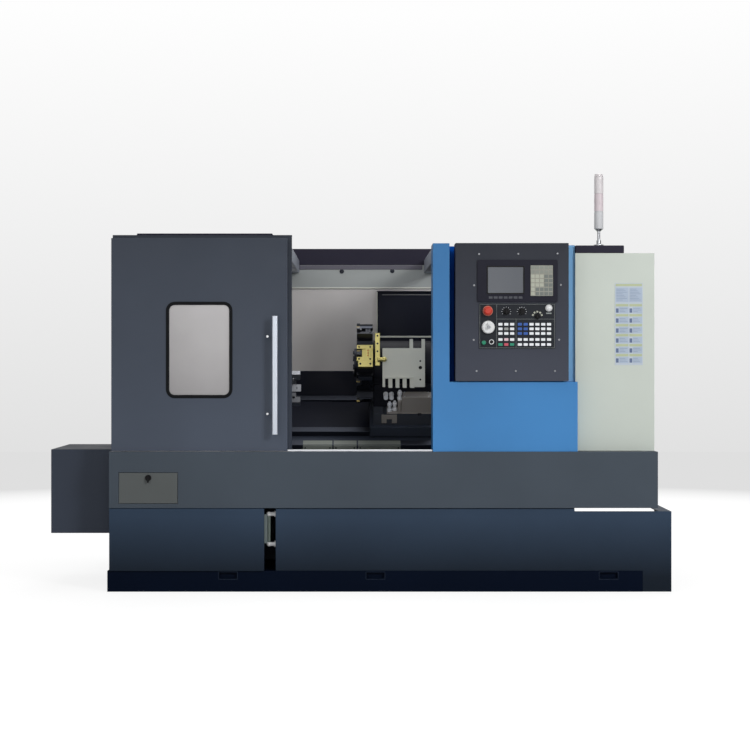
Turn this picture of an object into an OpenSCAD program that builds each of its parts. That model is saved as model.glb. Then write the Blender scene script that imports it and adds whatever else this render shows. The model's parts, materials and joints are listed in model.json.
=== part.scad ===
// Slant-bed CNC turning lathe with a sliding door, a swinging control pod
// and an electrical cabinet. Millimetres, +Z up, front towards -Y.
// The origin is the centre of the base frame's underside.

/* [Base] */
// Length of the base frame
base_length = 2712; // [2600:4:2900]
// Depth of the base frame
base_depth = 1500; // [1460:10:1600]
// Height of the base frame
plinth_height = 100; // [80:5:140]
// Height of the panels and the tank above the base frame
lower_height = 300; // [280:5:340]
// Height of the skirt tray
skirt_height = 270; // [250:5:290]
// How far the skirt stands in from the base at the left end
skirt_left_inset = 10; // [0:2:40]
// How far the skirt stands in from the base at the right end
skirt_right_inset = 67; // [40:1:100]
// How far the skirt stands out in front of the base
skirt_overhang = 10; // [4:1:20]
// Width of the slit that shows the level gauge
slit_width = 55; // [45:1:70]
// Thickness of the folded sheet
sheet = 4; // [3:0.5:5]

/* [Guard] */
// Height of the headstock housing above the skirt
guard_height = 1045; // [1000:5:1100]
// Width of the sliding door
door_width = 847; // [800:1:870]
// Depth of the sliding door
door_depth = 35; // [30:1:40]
// Width of the door opening
opening_width = 699; // [660:1:740]
// Width of the door window
window_width = 288; // [240:2:320]
// Height of the door window
window_height = 432; // [360:2:460]
// Corner radius of the door window
window_radius = 26; // [16:1:40]
// Length of the door handle
handle_length = 566; // [480:2:600]
// Width of the control housing
control_width = 696; // [680:2:720]
// Height of the control housing above the skirt
control_height = 1002; // [980:2:1030]
// Height of the electrical cabinet above the skirt
cabinet_height = 960; // [930:2:990]
// Width of the motor cover
motor_cover_width = 314; // [300:2:340]

/* [Work area] */
// Distance of the spindle line behind the centre of the base
axis_y = -210; // [-230:2:-190]
// Height of the spindle line above the floor
axis_z = 970; // [950:2:990]
// Slope of the bed in degrees
slant = 30; // [28:1:32]
// Distance from the spindle line to the face of the bed
bed_drop = 330; // [320:2:340]
// Radius of the chuck
chuck_radius = 105; // [100:1:112]
// Length of the chuck body
chuck_length = 95; // [85:1:105]
// Radius of the hole through the chuck
chuck_bore = 30; // [28:1:34]
// Radius of the spindle where it runs in the headstock
spindle_radius = 70; // [60:1:76]
// Radius of the hole through the spindle
spindle_bore = 28; // [22:1:34]
// Radius of the turret disc across its corners
turret_radius = 180; // [170:1:186]
// Thickness of the turret disc
turret_width = 83; // [74:1:90]
// Number of stations on the turret
stations = 8; // [6:2:8]
// Radius of the tailstock quill
quill_radius = 30; // [26:1:34]

/* [Control pod] */
// Width of the control pod
pod_width = 543; // [520:1:550]
// Height of the control pod
pod_height = 662; // [650:1:666]
// Depth of the control pod
pod_depth = 120; // [100:2:130]
// Width of the operator panel
panel_width = 366; // [350:1:380]
// Height of the operator panel
panel_height = 217; // [210:1:224]
// Radius of the emergency stop button
estop_radius = 20; // [16:1:22]
// Radius of the handwheel
handwheel_radius = 31; // [26:1:33]

/* [Signal tower] */
// Radius of the lamp
lamp_radius = 22; // [18:1:26]
// Height of the lamp
lamp_height = 266; // [220:2:300]

/* [Hidden] */
$fn = 64;

// Clearances
running = 0.05;
gap = 2;
seam = 3;
seat = 0.1;
cut = 1;

// Heights of the main levels
lower_top = plinth_height + lower_height;
skirt_bottom = lower_top + seam;
skirt_top = skirt_bottom + skirt_height;
guard_top = skirt_top + guard_height;
control_top = skirt_top + control_height;
cabinet_top = skirt_top + cabinet_height;

// Lines across the front, from left to right
skirt_x = [-base_length / 2 + skirt_left_inset, base_length / 2 - skirt_right_inset];
door_inset = 9;
door_x = [skirt_x[0] + door_inset, skirt_x[0] + door_inset + door_width];
control_x = [door_x[1] + opening_width, door_x[1] + opening_width + control_width];
cabinet_x = [control_x[1], skirt_x[1]];
slit_x = [door_x[1] - 112, door_x[1] - 112 + slit_width];

// Lines from front to back
skirt_y = [-base_depth / 2 - skirt_overhang, base_depth / 2 - skirt_overhang];
door_y = [skirt_y[0] + 10, skirt_y[0] + 10 + door_depth];
house_y = door_y[1] + 15;
control_y = [skirt_y[0] + 10, skirt_y[0] + 200];
cabinet_y = [skirt_y[0] + 100, skirt_y[1]];

// The bed's sloping frame: u runs back and up the slope, n points away from the bed
slope_u = [-280, 470];
function slope_y(u, n) = axis_y + u * cos(slant) - n * sin(slant);
function slope_z(u, n) = axis_z + u * sin(slant) + n * cos(slant);
function on_slant(u, n) = [slope_y(u, n), slope_z(u, n)];
bed_front_y = slope_y(slope_u[0], -bed_drop);
bed_top_z = slope_z(slope_u[1], -bed_drop);
wall_y = slope_y(slope_u[1], -bed_drop) + sheet;
bed_x = [skirt_x[0] + 246, control_x[1] - 15];
rail_top = -bed_drop + 30;

// The headstock wall and the pieces along the spindle line
head_wall_x = door_x[1] - 131;
flange_x = door_x[1] + 19;
nose_x = head_wall_x + 21;
chuck_face_x = nose_x + chuck_length;
jaw_reach = 60;
head_x = [nose_x - 410, nose_x - 40];
pulley_x = [nose_x - 590, nose_x - 530];
spindle_pulley_r = 110;
motor_pulley_r = 75;
motor_y = axis_y - 90;
motor_z = (skirt_bottom + skirt_top) / 2 - 30;
motor_shaft_r = 20;
belt_thick = 8;
belt_gap = 0.5;

// The turret and the tailstock
turret_u = 260;
turret_x = [nose_x + 443, nose_x + 443 + turret_width];
turret_shaft_r = 60;
house_x = [turret_x[1] + 4, turret_x[1] + 304];
saddle_top = rail_top + 40;
cross_top = saddle_top + 70;
tail_x = [nose_x + 890, nose_x + 1146];
quill_out = 20;
barrel_r = quill_radius + 12;

// The control pod and what sits on its face
pod_x = [control_x[0] + 108, control_x[0] + 108 + pod_width];
pod_z = [control_top - pod_height, control_top];
pod_y = [skirt_y[0] - 5, skirt_y[0] - 5 + pod_depth];
ledge_z = pod_z[0] - 4;
pivot = [pod_x[0] + 42, pod_y[0] + 50];
pivot_r = 20;
face_y = pod_y[0];
panel_x = [pod_x[0] + 112, pod_x[0] + 112 + panel_width];
panel_z = [pod_z[0] + 155, pod_z[0] + 155 + panel_height];
panel_face = face_y - 4;
monitor_x = [panel_x[0] - 8, panel_x[1] + 11];
monitor_z = [panel_z[1] + 7, panel_z[1] + 209];
monitor_face = face_y - 8;
key_pitch = [28, 22];
key_size = [20, 13];
key_rise = 3;

// Solid between two corners, given as ranges
module block(x, y, z) {
    translate([x[0], y[0], z[0]]) cube([x[1] - x[0], y[1] - y[0], z[1] - z[0]]);
}

// Round bar along X, about the local origin
module bar_x(x, r) {
    translate([x[0], 0, 0]) rotate([0, 90, 0]) cylinder(h = x[1] - x[0], r = r);
}

// Round bar along Y at a place on the XZ plane
module bar_y(at, y, r) {
    translate([at[0], y[0], at[1]]) rotate([-90, 0, 0]) cylinder(h = y[1] - y[0], r = r);
}

// Rounded rectangle as points, with arcs of six steps at its corners
function rounded(x, y, r) = [
    for (c = [[1, 1, 0], [0, 1, 90], [0, 0, 180], [1, 0, 270]])
        for (i = [0:6])
            [
                (c[0] == 1 ? x[1] - r : x[0] + r) + r * cos(c[2] + 15 * i),
                (c[1] == 1 ? y[1] - r : y[0] + r) + r * sin(c[2] + 15 * i)
            ]
];

// Upright plate with rounded corners, facing the front
module plate(x, y, z, r) {
    translate([0, y[1], 0]) rotate([90, 0, 0])
        linear_extrude(y[1] - y[0]) polygon(rounded(x, z, r));
}

// Puts its children in the bed's sloping frame, about the spindle line
module on_slope() {
    translate([0, axis_y, axis_z]) rotate([slant, 0, 0]) children();
}

// Puts its children on the spindle line
module on_axis() {
    translate([0, axis_y, axis_z]) children();
}

// Sheet box with one wall thickness, open on the side that open names
module sheet_box(x, y, z, wall, open) {
    difference() {
        block(x, y, z);
        block(
            [x[0] + (open == "left" ? -cut : wall), x[1] + (open == "right" ? cut : -wall)],
            [y[0] + (open == "front" ? -cut : wall), y[1] + (open == "back" ? cut : -wall)],
            [z[0] + (open == "below" ? -cut : wall), z[1] + (open == "above" ? cut : -wall)]
        );
    }
}

// Access windows in the front rail, by their distance from the left end
access_at = [580, 1289, 2410];
access_size = [86, 29];
frame_rail = 120;
frame_plate = 10;
anchor_inset = [206, 60];
anchor_r = 11;

module base_frame() {
    bays = 4;
    bay = (base_length - (bays + 1) * frame_rail) / bays;
    half = [base_length / 2, base_depth / 2];
    color([0.05, 0.06, 0.09]) difference() {
        block([-half[0], half[0]], [-half[1], half[1]], [0, plinth_height]);
        for (i = [0:bays - 1])
            translate([-half[0] + frame_rail + i * (bay + frame_rail), 0, 0])
                block([0, bay], [-half[1] + frame_rail, half[1] - frame_rail],
                    [-cut, plinth_height - frame_plate]);
        for (sx = [-1, 1], sy = [-1, 1])
            translate([sx * (half[0] - anchor_inset[0]), sy * (half[1] - anchor_inset[1]), -cut])
                cylinder(h = plinth_height - frame_plate + cut, r = anchor_r);
        for (at = access_at)
            translate([at - half[0], -half[1], plinth_height - 22])
                block([-access_size[0] / 2, access_size[0] / 2], [-cut, 20],
                    [-access_size[1] / 2, access_size[1] / 2]);
        block([tank_x[1] - tank_foot, half[0] + cut], [-half[1] - cut, tank_y[1]],
            [-cut, plinth_height + cut]);
    }
}

// Shadow groove along the top of the lower panels
module seam_groove(x, y) {
    block([x[0] - cut, x[1] + cut], [y - cut, y + 8], [lower_top, skirt_bottom + cut]);
}

module base_panels() {
    x = [skirt_x[0], slit_x[0]];
    y = skirt_y[0] + gap;
    back = skirt_y[1];
    color([0.11, 0.15, 0.21]) difference() {
        union() {
            block(x, [y, y + sheet], [plinth_height, skirt_bottom]);
            block(x, [y, y + 40], [skirt_bottom - sheet, skirt_bottom]);
            block([x[0], x[0] + sheet], [y, back], [plinth_height, skirt_bottom]);
            block([x[1] - sheet, x[1]], [y, y + 40], [plinth_height, skirt_bottom]);
            block([skirt_x[0], bed_x[1]], [back - sheet, back], [plinth_height, skirt_bottom]);
        }
        seam_groove([x[0] + sheet, x[1]], y);
    }
}

tank_x = [slit_x[1], base_length / 2];
tank_y = [skirt_y[0] + 10, bed_front_y - 5];
tank_wall = 5;
// Rim of the tank, top edge of its front at the right end, and width of the foot on the floor
tank_rim = lower_top - 70;
tank_shoulder = lower_top - 13;
tank_foot = 139;

module coolant_tank() {
    inner_x = [tank_x[0] + tank_wall, tank_x[1] - tank_wall];
    inner_y = [tank_y[0] + tank_wall, tank_y[1] - tank_wall];
    foot_x = [tank_x[1] - tank_foot, tank_x[1]];
    color([0.11, 0.15, 0.21]) {
        difference() {
            union() {
                block(tank_x, tank_y, [plinth_height, tank_rim]);
                block(foot_x, tank_y, [0, plinth_height + tank_wall]);
            }
            block(inner_x, inner_y, [plinth_height + tank_wall, tank_rim + cut]);
            block([foot_x[0] + tank_wall, inner_x[1]], inner_y, [tank_wall, plinth_height + 2 * tank_wall]);
        }
        block([tank_x[0], bed_x[1]], [tank_y[0], inner_y[0]], [plinth_height, lower_top]);
        block([tank_x[0], inner_x[0]], [tank_y[0], tank_y[0] + 120], [plinth_height, lower_top]);
        block([bed_x[1], tank_x[1]], [tank_y[0], inner_y[0]], [plinth_height, tank_shoulder]);
        block([inner_x[1], tank_x[1]], tank_y, [plinth_height, tank_shoulder]);
        block([skirt_x[1] + sheet, tank_x[1]], tank_y, [tank_shoulder - tank_wall, tank_shoulder]);
    }
}

// Sight tube with an elbow at each end, on the tank's left wall
gauge_x = (slit_x[0] + slit_x[1]) / 2 - 6;
gauge_z = [lower_top - 175, lower_top - 30];
gauge_y = tank_y[0] + 45;

module level_gauge() {
    color([0.85, 0.86, 0.86]) {
        translate([gauge_x, gauge_y, gauge_z[0]]) cylinder(h = gauge_z[1] - gauge_z[0], r = 8);
        for (z = gauge_z) {
            translate([0, gauge_y, z]) bar_x([gauge_x, tank_x[0]], 10);
            translate([gauge_x, gauge_y, z]) sphere(r = 12);
            translate([0, gauge_y, z]) bar_x([tank_x[0] - 8, tank_x[0]], 15, $fn = 6);
        }
    }
}

flap_x = [skirt_x[0] + 46, skirt_x[0] + 330];
flap_z = [skirt_bottom + 21, skirt_bottom + 171];
flap_axis = [skirt_y[0] + sheet, flap_z[0] + gap + 6];
flap_pin_r = 2.5;
pin_depth = 8;
tray_wall = 5;
flange = 70;

module skirt_tray() {
    inner_x = [skirt_x[0] + tray_wall, skirt_x[1] - tray_wall];
    inner_y = [skirt_y[0] + tray_wall, skirt_y[1] - tray_wall];
    color([0.21, 0.23, 0.27]) difference() {
        union() {
            difference() {
                block(skirt_x, skirt_y, [skirt_bottom, skirt_top]);
                block(inner_x, inner_y, [skirt_bottom + tray_wall, skirt_top - tray_wall]);
                block([skirt_x[0] + flange, skirt_x[1] - flange],
                    [skirt_y[0] + flange, skirt_y[1] - flange],
                    [skirt_bottom + tray_wall, skirt_top + cut]);
                block(inner_x, [bed_front_y - gap, inner_y[1]],
                    [skirt_bottom - cut, skirt_bottom + 10]);
            }
            for (x = [flap_x[0] - 14, flap_x[1]])
                block([x, x + 14], [flap_axis[0] - 3, flap_axis[0] + 8],
                    [flap_axis[1] - 7, flap_axis[1] + 7]);
        }
        block(flap_x, [skirt_y[0] - cut, skirt_y[0] + tray_wall + cut], flap_z);
        translate([0, flap_axis[0], flap_axis[1]])
            bar_x([flap_x[0] - pin_depth - gap, flap_x[1] + pin_depth + gap], flap_pin_r + running);
        translate([0, motor_y, motor_z]) bar_x([skirt_x[0] - cut, inner_x[0] + cut], motor_shaft_r * 2);
    }
}

latch_r = 6;
latch_at = [(flap_x[0] + flap_x[1]) / 2, flap_z[1] - 26];

module access_flap() {
    x = [flap_x[0] + gap, flap_x[1] - gap];
    color([0.27, 0.29, 0.31]) difference() {
        union() {
            block(x, [skirt_y[0], skirt_y[0] + sheet], [flap_z[0] + gap, flap_z[1] - gap]);
            translate([0, flap_axis[0], flap_axis[1]]) {
                bar_x(x, 4);
                bar_x([flap_x[0] - pin_depth, flap_x[1] + pin_depth], flap_pin_r);
            }
        }
        bar_y(latch_at, [skirt_y[0] - cut, skirt_y[0] + sheet + cut], latch_r + running);
    }
}

module flap_latch() {
    cam = [skirt_y[0] + tray_wall + 0.5, skirt_y[0] + tray_wall + 4];
    color([0.05, 0.05, 0.06]) {
        bar_y(latch_at, [skirt_y[0] - 6, cam[1]], latch_r);
        bar_y(latch_at, [skirt_y[0] - 4, skirt_y[0]], 15);
        translate([latch_at[0], 0, latch_at[1]]) {
            block([-4, 4], [skirt_y[0] - 18, skirt_y[0] - 4], [-22, 10]);
            block([-9, 34], cam, [-9, 9]);
        }
    }
}

// Distances of the motor cover's front and back behind the skirt's front, and its drop below the skirt
cover_from = 200;
cover_to = 733;
cover_drop = 140;

module motor_cover() {
    color([0.2, 0.22, 0.24]) sheet_box([skirt_x[0] - motor_cover_width, skirt_x[0]],
        [skirt_y[0] + cover_from, skirt_y[0] + cover_to],
        [skirt_bottom - cover_drop, skirt_top + gap], sheet, "right");
}

// Bed outline across the machine, with its sloping face lifted by a distance
function bed_outline(lift) = [
    [bed_front_y, plinth_height],
    [bed_front_y, slope_z(slope_u[0], -bed_drop) + lift],
    [slope_y(slope_u[1], -bed_drop), bed_top_z + lift],
    [wall_y + 134, bed_top_z + lift],
    [wall_y + 134, plinth_height]
];

// Extrudes an outline given in Y and Z along a range of X
module along_x(x, points) {
    translate([x[0], 0, 0]) rotate([90, 0, 90]) linear_extrude(x[1] - x[0]) polygon(points);
}

module headstock_housing() {
    color([0.21, 0.22, 0.26]) difference() {
        union() {
            sheet_box([door_x[0], head_wall_x], [house_y, wall_y], [skirt_top, guard_top], sheet, "below");
            block([head_wall_x - sheet, flange_x], [house_y, house_y + sheet], [skirt_top, guard_top]);
            block([flange_x - sheet, flange_x], [house_y, house_y + 30], [skirt_top, guard_top]);
            block([head_wall_x - sheet, flange_x], [house_y, house_y + 60], [guard_top - sheet, guard_top]);
        }
        along_x([bed_x[0] - gap, bed_x[1]], bed_outline(45));
        on_axis() bar_x([head_wall_x - sheet - cut, head_wall_x + cut], 112);
    }
}

module headstock() {
    color([0.35, 0.37, 0.4]) on_slope() difference() {
        union() {
            block(head_x, [-190, 190], [-bed_drop + seat, -120]);
            block(head_x, [-150, 150], [-120, 0]);
            bar_x(head_x, 150);
        }
        bar_x([head_x[0] - cut, head_x[1] + cut], spindle_radius + running);
    }
}

module spindle() {
    tail_r = spindle_radius - 25;
    color([0.6, 0.61, 0.63]) on_axis() difference() {
        union() {
            bar_x([pulley_x[0] - 12, nose_x], tail_r);
            bar_x([head_x[0] - 10, nose_x], spindle_radius);
            bar_x([nose_x - 36, nose_x], 100);
        }
        bar_x([pulley_x[0] - 20, nose_x + cut], spindle_bore);
    }
}

slot_width = 36;
slot_depth = 25;

chuck_rim = 8;
jaw_angles = [30, 150, 270];

module chuck_body() {
    color([0.55, 0.56, 0.58]) on_axis() difference() {
        union() {
            bar_x([nose_x, chuck_face_x - chuck_rim], chuck_radius);
            bar_x([nose_x, chuck_face_x], chuck_radius - 5);
        }
        bar_x([nose_x - cut, chuck_face_x + cut], chuck_bore);
        for (angle = jaw_angles) rotate([angle, 0, 0])
            block([chuck_face_x - slot_depth, chuck_face_x + cut],
                [-slot_width / 2, slot_width / 2], [0, chuck_radius + cut]);
    }
}

// One stepped jaw with a hole across it, in the chuck slot at an angle
module jaw(angle) {
    w = slot_width / 2 - running;
    r = [chuck_bore + 6, chuck_radius - 13];
    x = chuck_face_x;
    color([0.66, 0.67, 0.69]) on_axis() rotate([angle, 0, 0]) difference() {
        union() {
            block([x - slot_depth + running, x + 14], [-w, w], [r[0] + 2, chuck_radius - 6]);
            block([x + 14, x + 38], [-w, w], r);
            block([x + 38, x + jaw_reach], [-w, w], [r[0] + 24, r[1]]);
        }
        bar_y([x + 26, (r[0] + r[1]) / 2], [-w - cut, w + cut], 7);
    }
}

module jaw_1() { jaw(jaw_angles[0]); }

module jaw_2() { jaw(jaw_angles[1]); }

module jaw_3() { jaw(jaw_angles[2]); }

// Belt pulley with a rim at each side
module pulley(r) {
    bar_x(pulley_x, r);
    for (x = [pulley_x[0], pulley_x[1] - 6]) bar_x([x, x + 6], r + 5);
}

module spindle_pulley() {
    color([0.4, 0.41, 0.43]) on_axis() difference() {
        pulley(spindle_pulley_r);
        bar_x([pulley_x[0] - cut, pulley_x[1] + cut], spindle_radius - 25 + running);
    }
}

// Outline round both pulleys at a distance outside them
function belt_loop(grow) =
    let (
        d = norm([motor_y - axis_y, motor_z - axis_z]),
        along = atan2(motor_z - axis_z, motor_y - axis_y),
        wrap = acos((spindle_pulley_r - motor_pulley_r) / d)
    )
    concat(
        [for (i = [0:40]) let (a = along + wrap + i * (360 - 2 * wrap) / 40)
            [axis_y, axis_z] + (spindle_pulley_r + grow) * [cos(a), sin(a)]],
        [for (i = [0:30]) let (a = along - wrap + i * 2 * wrap / 30)
            [motor_y, motor_z] + (motor_pulley_r + grow) * [cos(a), sin(a)]]
    );

module drive_belt() {
    x = [pulley_x[0] + 7, pulley_x[1] - 7];
    color([0.06, 0.06, 0.06]) difference() {
        along_x(x, belt_loop(belt_gap + belt_thick));
        along_x([x[0] - cut, x[1] + cut], belt_loop(belt_gap));
    }
}

module motor_pulley() {
    color([0.4, 0.41, 0.43]) translate([0, motor_y, motor_z]) {
        pulley(motor_pulley_r);
        bar_x([skirt_x[0] - 54, pulley_x[1] + 5], motor_shaft_r);
    }
}

module spindle_motor() {
    flange_half = 105;
    body_half = 92;
    color([0.09, 0.09, 0.1]) translate([0, motor_y, motor_z]) difference() {
        union() {
            block([skirt_x[0] - 18, skirt_x[0]], [-flange_half, flange_half], [-flange_half, flange_half]);
            along_x([skirt_x[0] - 230, skirt_x[0] - 18],
                rounded([-body_half, body_half], [-body_half, body_half], 30));
            bar_x([skirt_x[0] - 285, skirt_x[0] - 230], 70);
        }
        bar_x([skirt_x[0] - 56, skirt_x[0] + cut], motor_shaft_r + running);
    }
}

// Cored bay inside the bed, a wall's thickness inside its outline
bed_wall = 45;
bed_bays = 4;

function bed_core() = [
    [bed_front_y + bed_wall, plinth_height - cut],
    [bed_front_y + bed_wall, slope_z(slope_u[0], -bed_drop) - bed_wall],
    [slope_y(slope_u[1], -bed_drop), bed_top_z - 2 * bed_wall],
    [wall_y + 134 - bed_wall, bed_top_z - 2 * bed_wall],
    [wall_y + 134 - bed_wall, plinth_height - cut]
];

module bed_casting() {
    bay = (bed_x[1] - bed_x[0] - bed_wall) / bed_bays;
    color([0.3, 0.33, 0.36]) difference() {
        along_x(bed_x, bed_outline(0));
        for (i = [0:bed_bays - 1])
            along_x([bed_x[0] + bed_wall + i * bay, bed_x[0] + (i + 1) * bay], bed_core());
    }
}

// Rails along the bed: two for the tailstock, two for the carriage
rail_u = [-240, -70, 60, 380];
rail_width = 44;
rail_x = [nose_x + 10, bed_x[1]];

module guide_rails() {
    color([0.5, 0.51, 0.53]) on_slope()
        for (u = rail_u) block(rail_x, [u, u + rail_width], [-bed_drop + seat, rail_top]);
}

// Cover plates between the carriage rails, and a dark apron up the foot of the back wall
cover_plates = 5;
cover_rise = 22;
apron_top = bed_top_z + 136;

module way_cover() {
    length = (rail_x[1] - rail_x[0]) / cover_plates;
    color([0.1, 0.11, 0.13]) {
        on_slope() for (i = [0:cover_plates - 1])
            block([rail_x[0] + i * length, rail_x[0] + (i + 1) * length],
                [rail_u[2] + rail_width + gap, rail_u[3] - gap],
                [-bed_drop + seat, -bed_drop + cover_rise - 3 * i]);
        block([head_wall_x, bed_x[1]], [wall_y - 6, wall_y], [bed_top_z, apron_top]);
    }
}

// Saddle across the two back rails: lips hang beside the rails, and a ledge carries the cover
saddle_lip = 20;
ledge_n = [saddle_top - 34, saddle_top - 12];

module saddle() {
    u = [rail_u[2] - saddle_lip, rail_u[2] - gap,
         rail_u[3] + rail_width + gap, rail_u[3] + rail_width + saddle_lip];
    lip_n = rail_top - saddle_lip;
    color([0.28, 0.3, 0.33]) along_x([house_x[0] - 20, house_x[1] + 40], [
        on_slant(u[0], lip_n), on_slant(u[1], lip_n), on_slant(u[1], rail_top + seat),
        on_slant(u[2], rail_top + seat), on_slant(u[2], lip_n), on_slant(u[3], lip_n),
        on_slant(u[3], ledge_n[0]), [cover_y, slope_z(u[3], ledge_n[0])],
        [cover_y, slope_z(u[3], ledge_n[1])], on_slant(u[3], ledge_n[1]),
        on_slant(u[3], saddle_top), on_slant(u[0], saddle_top)
    ]);
}

// The dark cover behind the turret stands on a bracket at the saddle's back edge
saddle_back_z = slope_z(rail_u[3] + rail_width + saddle_lip, saddle_top);
cover_y = wall_y - 16;

cover_over = 300;
cover_seam = 300;

module carriage_cover() {
    x = [house_x[0] + 21, house_x[1] + cover_over];
    z = [saddle_back_z - 30, beam_z[0] - 142];
    color([0.09, 0.1, 0.13]) {
        block(x, [cover_y, cover_y + sheet], z);
        block(x, [cover_y - 30, cover_y], [z[1] - sheet, z[1]]);
        block(x, [cover_y - 3, cover_y], [z[0] + cover_seam, z[0] + cover_seam + 10]);
        block([x[0], x[0] + sheet], [cover_y - 20, cover_y], [z[0] + 120, z[1]]);
    }
}

cross_u = [rail_u[2], rail_u[3] + rail_width + 6];

// Box over the cross feed, at the slide's lower right corner
drive_box_x = house_x[0] + 147;
drive_box_height = 92;

module cross_slide() {
    color([0.33, 0.35, 0.38]) on_slope() {
        difference() {
            block(house_x, cross_u, [saddle_top + seat, cross_top]);
            for (x = [house_x[0] + 60, house_x[1] - 60])
                block([x - 9, x + 9], [cross_u[0] - cut, cross_u[1] + cut],
                    [cross_top - 14, cross_top + cut]);
        }
        block([drive_box_x, house_x[1]], [cross_u[0] + 6, turret_u - foot_half - gap],
            [cross_top - 2, cross_top + drive_box_height]);
    }
}

turret_y = slope_y(turret_u, 0);
turret_z = slope_z(turret_u, 0);
housing_r = 115;
foot_half = 130;
plate_y = [turret_y - housing_r - 12, turret_y - housing_r - 4];
plate_x = [house_x[0] + 46, house_x[0] + 266];

module turret_housing() {
    color([0.36, 0.38, 0.4]) difference() {
        union() {
            on_slope() {
                block(house_x, [turret_u - foot_half, turret_u + foot_half], [cross_top + seat, -60]);
                translate([0, turret_u, 0]) bar_x(house_x, housing_r);
                block(house_x, [turret_u - 110, turret_u + 110], [-62, 0]);
            }
            for (x = [plate_x[0] + 40, plate_x[1] - 70])
                block([x, x + 30], [plate_y[1], turret_y - 60], [turret_z - 30, turret_z + 30]);
        }
        on_slope() translate([0, turret_u, 0])
            bar_x([house_x[0] - cut, house_x[0] + 80], turret_shaft_r + running);
    }
}

// Front plate with a fork at its top and a comb of slots for square shanks at its foot
plate_z = [turret_z - 126, turret_z + 76];
fork_height = 47;
comb_count = 4;
comb_pitch = 37;
comb_depth = 32;

module turret_plate() {
    z = plate_z;
    x = plate_x;
    color([0.72, 0.73, 0.7]) difference() {
        union() {
            plate(x, plate_y, z, 4);
            for (dx = [0, 62])
                plate([x[1] - 80 + dx, x[1] - 62 + dx], plate_y, [z[1] - 10, z[1] + fork_height], 3);
            for (i = [0:comb_count - 1])
                block([x[0] + 32 + i * comb_pitch, x[0] + 54 + i * comb_pitch],
                    [plate_y[0] - 8, plate_y[0]], [z[0] - 4, z[0] + 22]);
            block([x[0] + 20, x[1] - 60], [plate_y[0] - 8, plate_y[0]], [z[0] + 46, z[0] + 54]);
        }
        for (i = [0:comb_count - 1])
            block([x[0] + 14 + i * comb_pitch, x[0] + 30 + i * comb_pitch],
                [plate_y[0] - 10, plate_y[1] + cut], [z[0] - 5, z[0] + comb_depth + 12]);
        bar_y([x[1] - 24, (z[0] + z[1]) / 2], [plate_y[0] - cut, plate_y[1] + cut], 9);
        for (dz = [-62, 34])
            bar_y([x[1] - 24, (z[0] + z[1]) / 2 + dz], [plate_y[0] - cut, plate_y[1] + cut], 5);
    }
}

flat_r = turret_radius * cos(180 / stations);
block_rise = 32;
block_half = 42;
tool_tip = flat_r + block_rise + 14;
// The square shanks lie in slots on the disc's left side
shank = 25;
shank_x = [turret_x[0], turret_x[0] + shank];
shank_foot = flat_r - 60;

module on_turret() {
    on_slope() translate([0, turret_u, 0]) children();
}

// Turns its children to every station of the turret
module at_stations() {
    for (i = [0:stations - 1]) rotate([i * 360 / stations, 0, 0]) children();
}

module turret_disc() {
    half = shank / 2 + running;
    color([0.12, 0.13, 0.15]) on_turret() difference() {
        union() {
            rotate([180 / stations, 0, 0]) translate([turret_x[0], 0, 0]) rotate([0, 90, 0])
                cylinder(h = turret_width, r = turret_radius, $fn = stations);
            bar_x([turret_x[0] - 14, turret_x[0] + cut], 74);
            bar_x([turret_x[1] - cut, house_x[0] + 78], turret_shaft_r);
            bar_x([turret_x[1] - cut, turret_x[1] + 4], 105);
        }
        at_stations() block([turret_x[0] - cut, shank_x[1] + running], [-half, half],
            [shank_foot - running, turret_radius + cut]);
    }
}

// One tool block on a flat of the disc, with its clamp screws' holes
module tool_block() {
    x = [shank_x[1] + gap, turret_x[1]];
    top = flat_r + block_rise;
    side = block_half - 10;
    difference() {
        union() {
            block(x, [-block_half, block_half], [flat_r, top - 10]);
            for (s = [-1, 1]) block(turret_x, [s * side - 10, s * side + 10], [flat_r, top]);
            block([x[0] + 18, x[1] - 12], [-block_half, block_half], [flat_r, top]);
        }
        for (s = [-1, 1], dx = [12, turret_width - 14])
            translate([turret_x[0] + dx, s * side, top - 9]) cylinder(h = 10, r = 5);
        for (s = [-1, 0, 1]) translate([x[0] + 31, s * 14, top - 9]) cylinder(h = 10, r = 4);
    }
}

module tool_blocks() {
    color([0.78, 0.68, 0.28]) on_turret() at_stations() tool_block();
}

module cutting_tools() {
    half = shank / 2;
    color([0.62, 0.63, 0.64]) on_turret() at_stations() {
        block(shank_x, [-half, half], [shank_foot, tool_tip - 8]);
        block([shank_x[0], shank_x[1] - 8], [-half, half - 8], [tool_tip - 20, tool_tip]);
    }
}

// Tailstock outline across the slope, from its foot on the rails to the barrel
tail_u = [rail_u[0] - 10, rail_u[2] - 55];
tail_outline = [
    [tail_u[0], rail_top + seat], [tail_u[1], rail_top + seat], [tail_u[1], -150], [barrel_r, -110],
    [barrel_r, 0], [-barrel_r, 0], [-barrel_r, -40], [tail_u[0] + 30, -190], [tail_u[0], -190]
];

module tailstock_body() {
    color([0.42, 0.43, 0.45]) on_slope() difference() {
        union() {
            along_x(tail_x, tail_outline);
            bar_x(tail_x, barrel_r);
        }
        bar_x([tail_x[0] - cut, tail_x[1] - 40], quill_radius + running);
        block([tail_x[0] + 70, tail_x[0] + 100], [tail_u[0] - cut, -60], [rail_top + 40, -170]);
    }
}

centre_r = 12;
centre_x = tail_x[0] - quill_out;

module quill() {
    color([0.72, 0.73, 0.74]) on_axis() difference() {
        bar_x([centre_x, tail_x[1] - 45], quill_radius);
        bar_x([centre_x - cut, centre_x + 82], centre_r + running);
    }
}

centre_outline = [
    [0, -80], [centre_r, -80], [centre_r, 0.5], [22, 0.5], [22, 18], [12, 22], [0, 40]
];

module live_centre() {
    color([0.76, 0.77, 0.78]) on_axis() translate([centre_x, 0, 0]) rotate([0, -90, 0])
        rotate_extrude() polygon(centre_outline);
}

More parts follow.
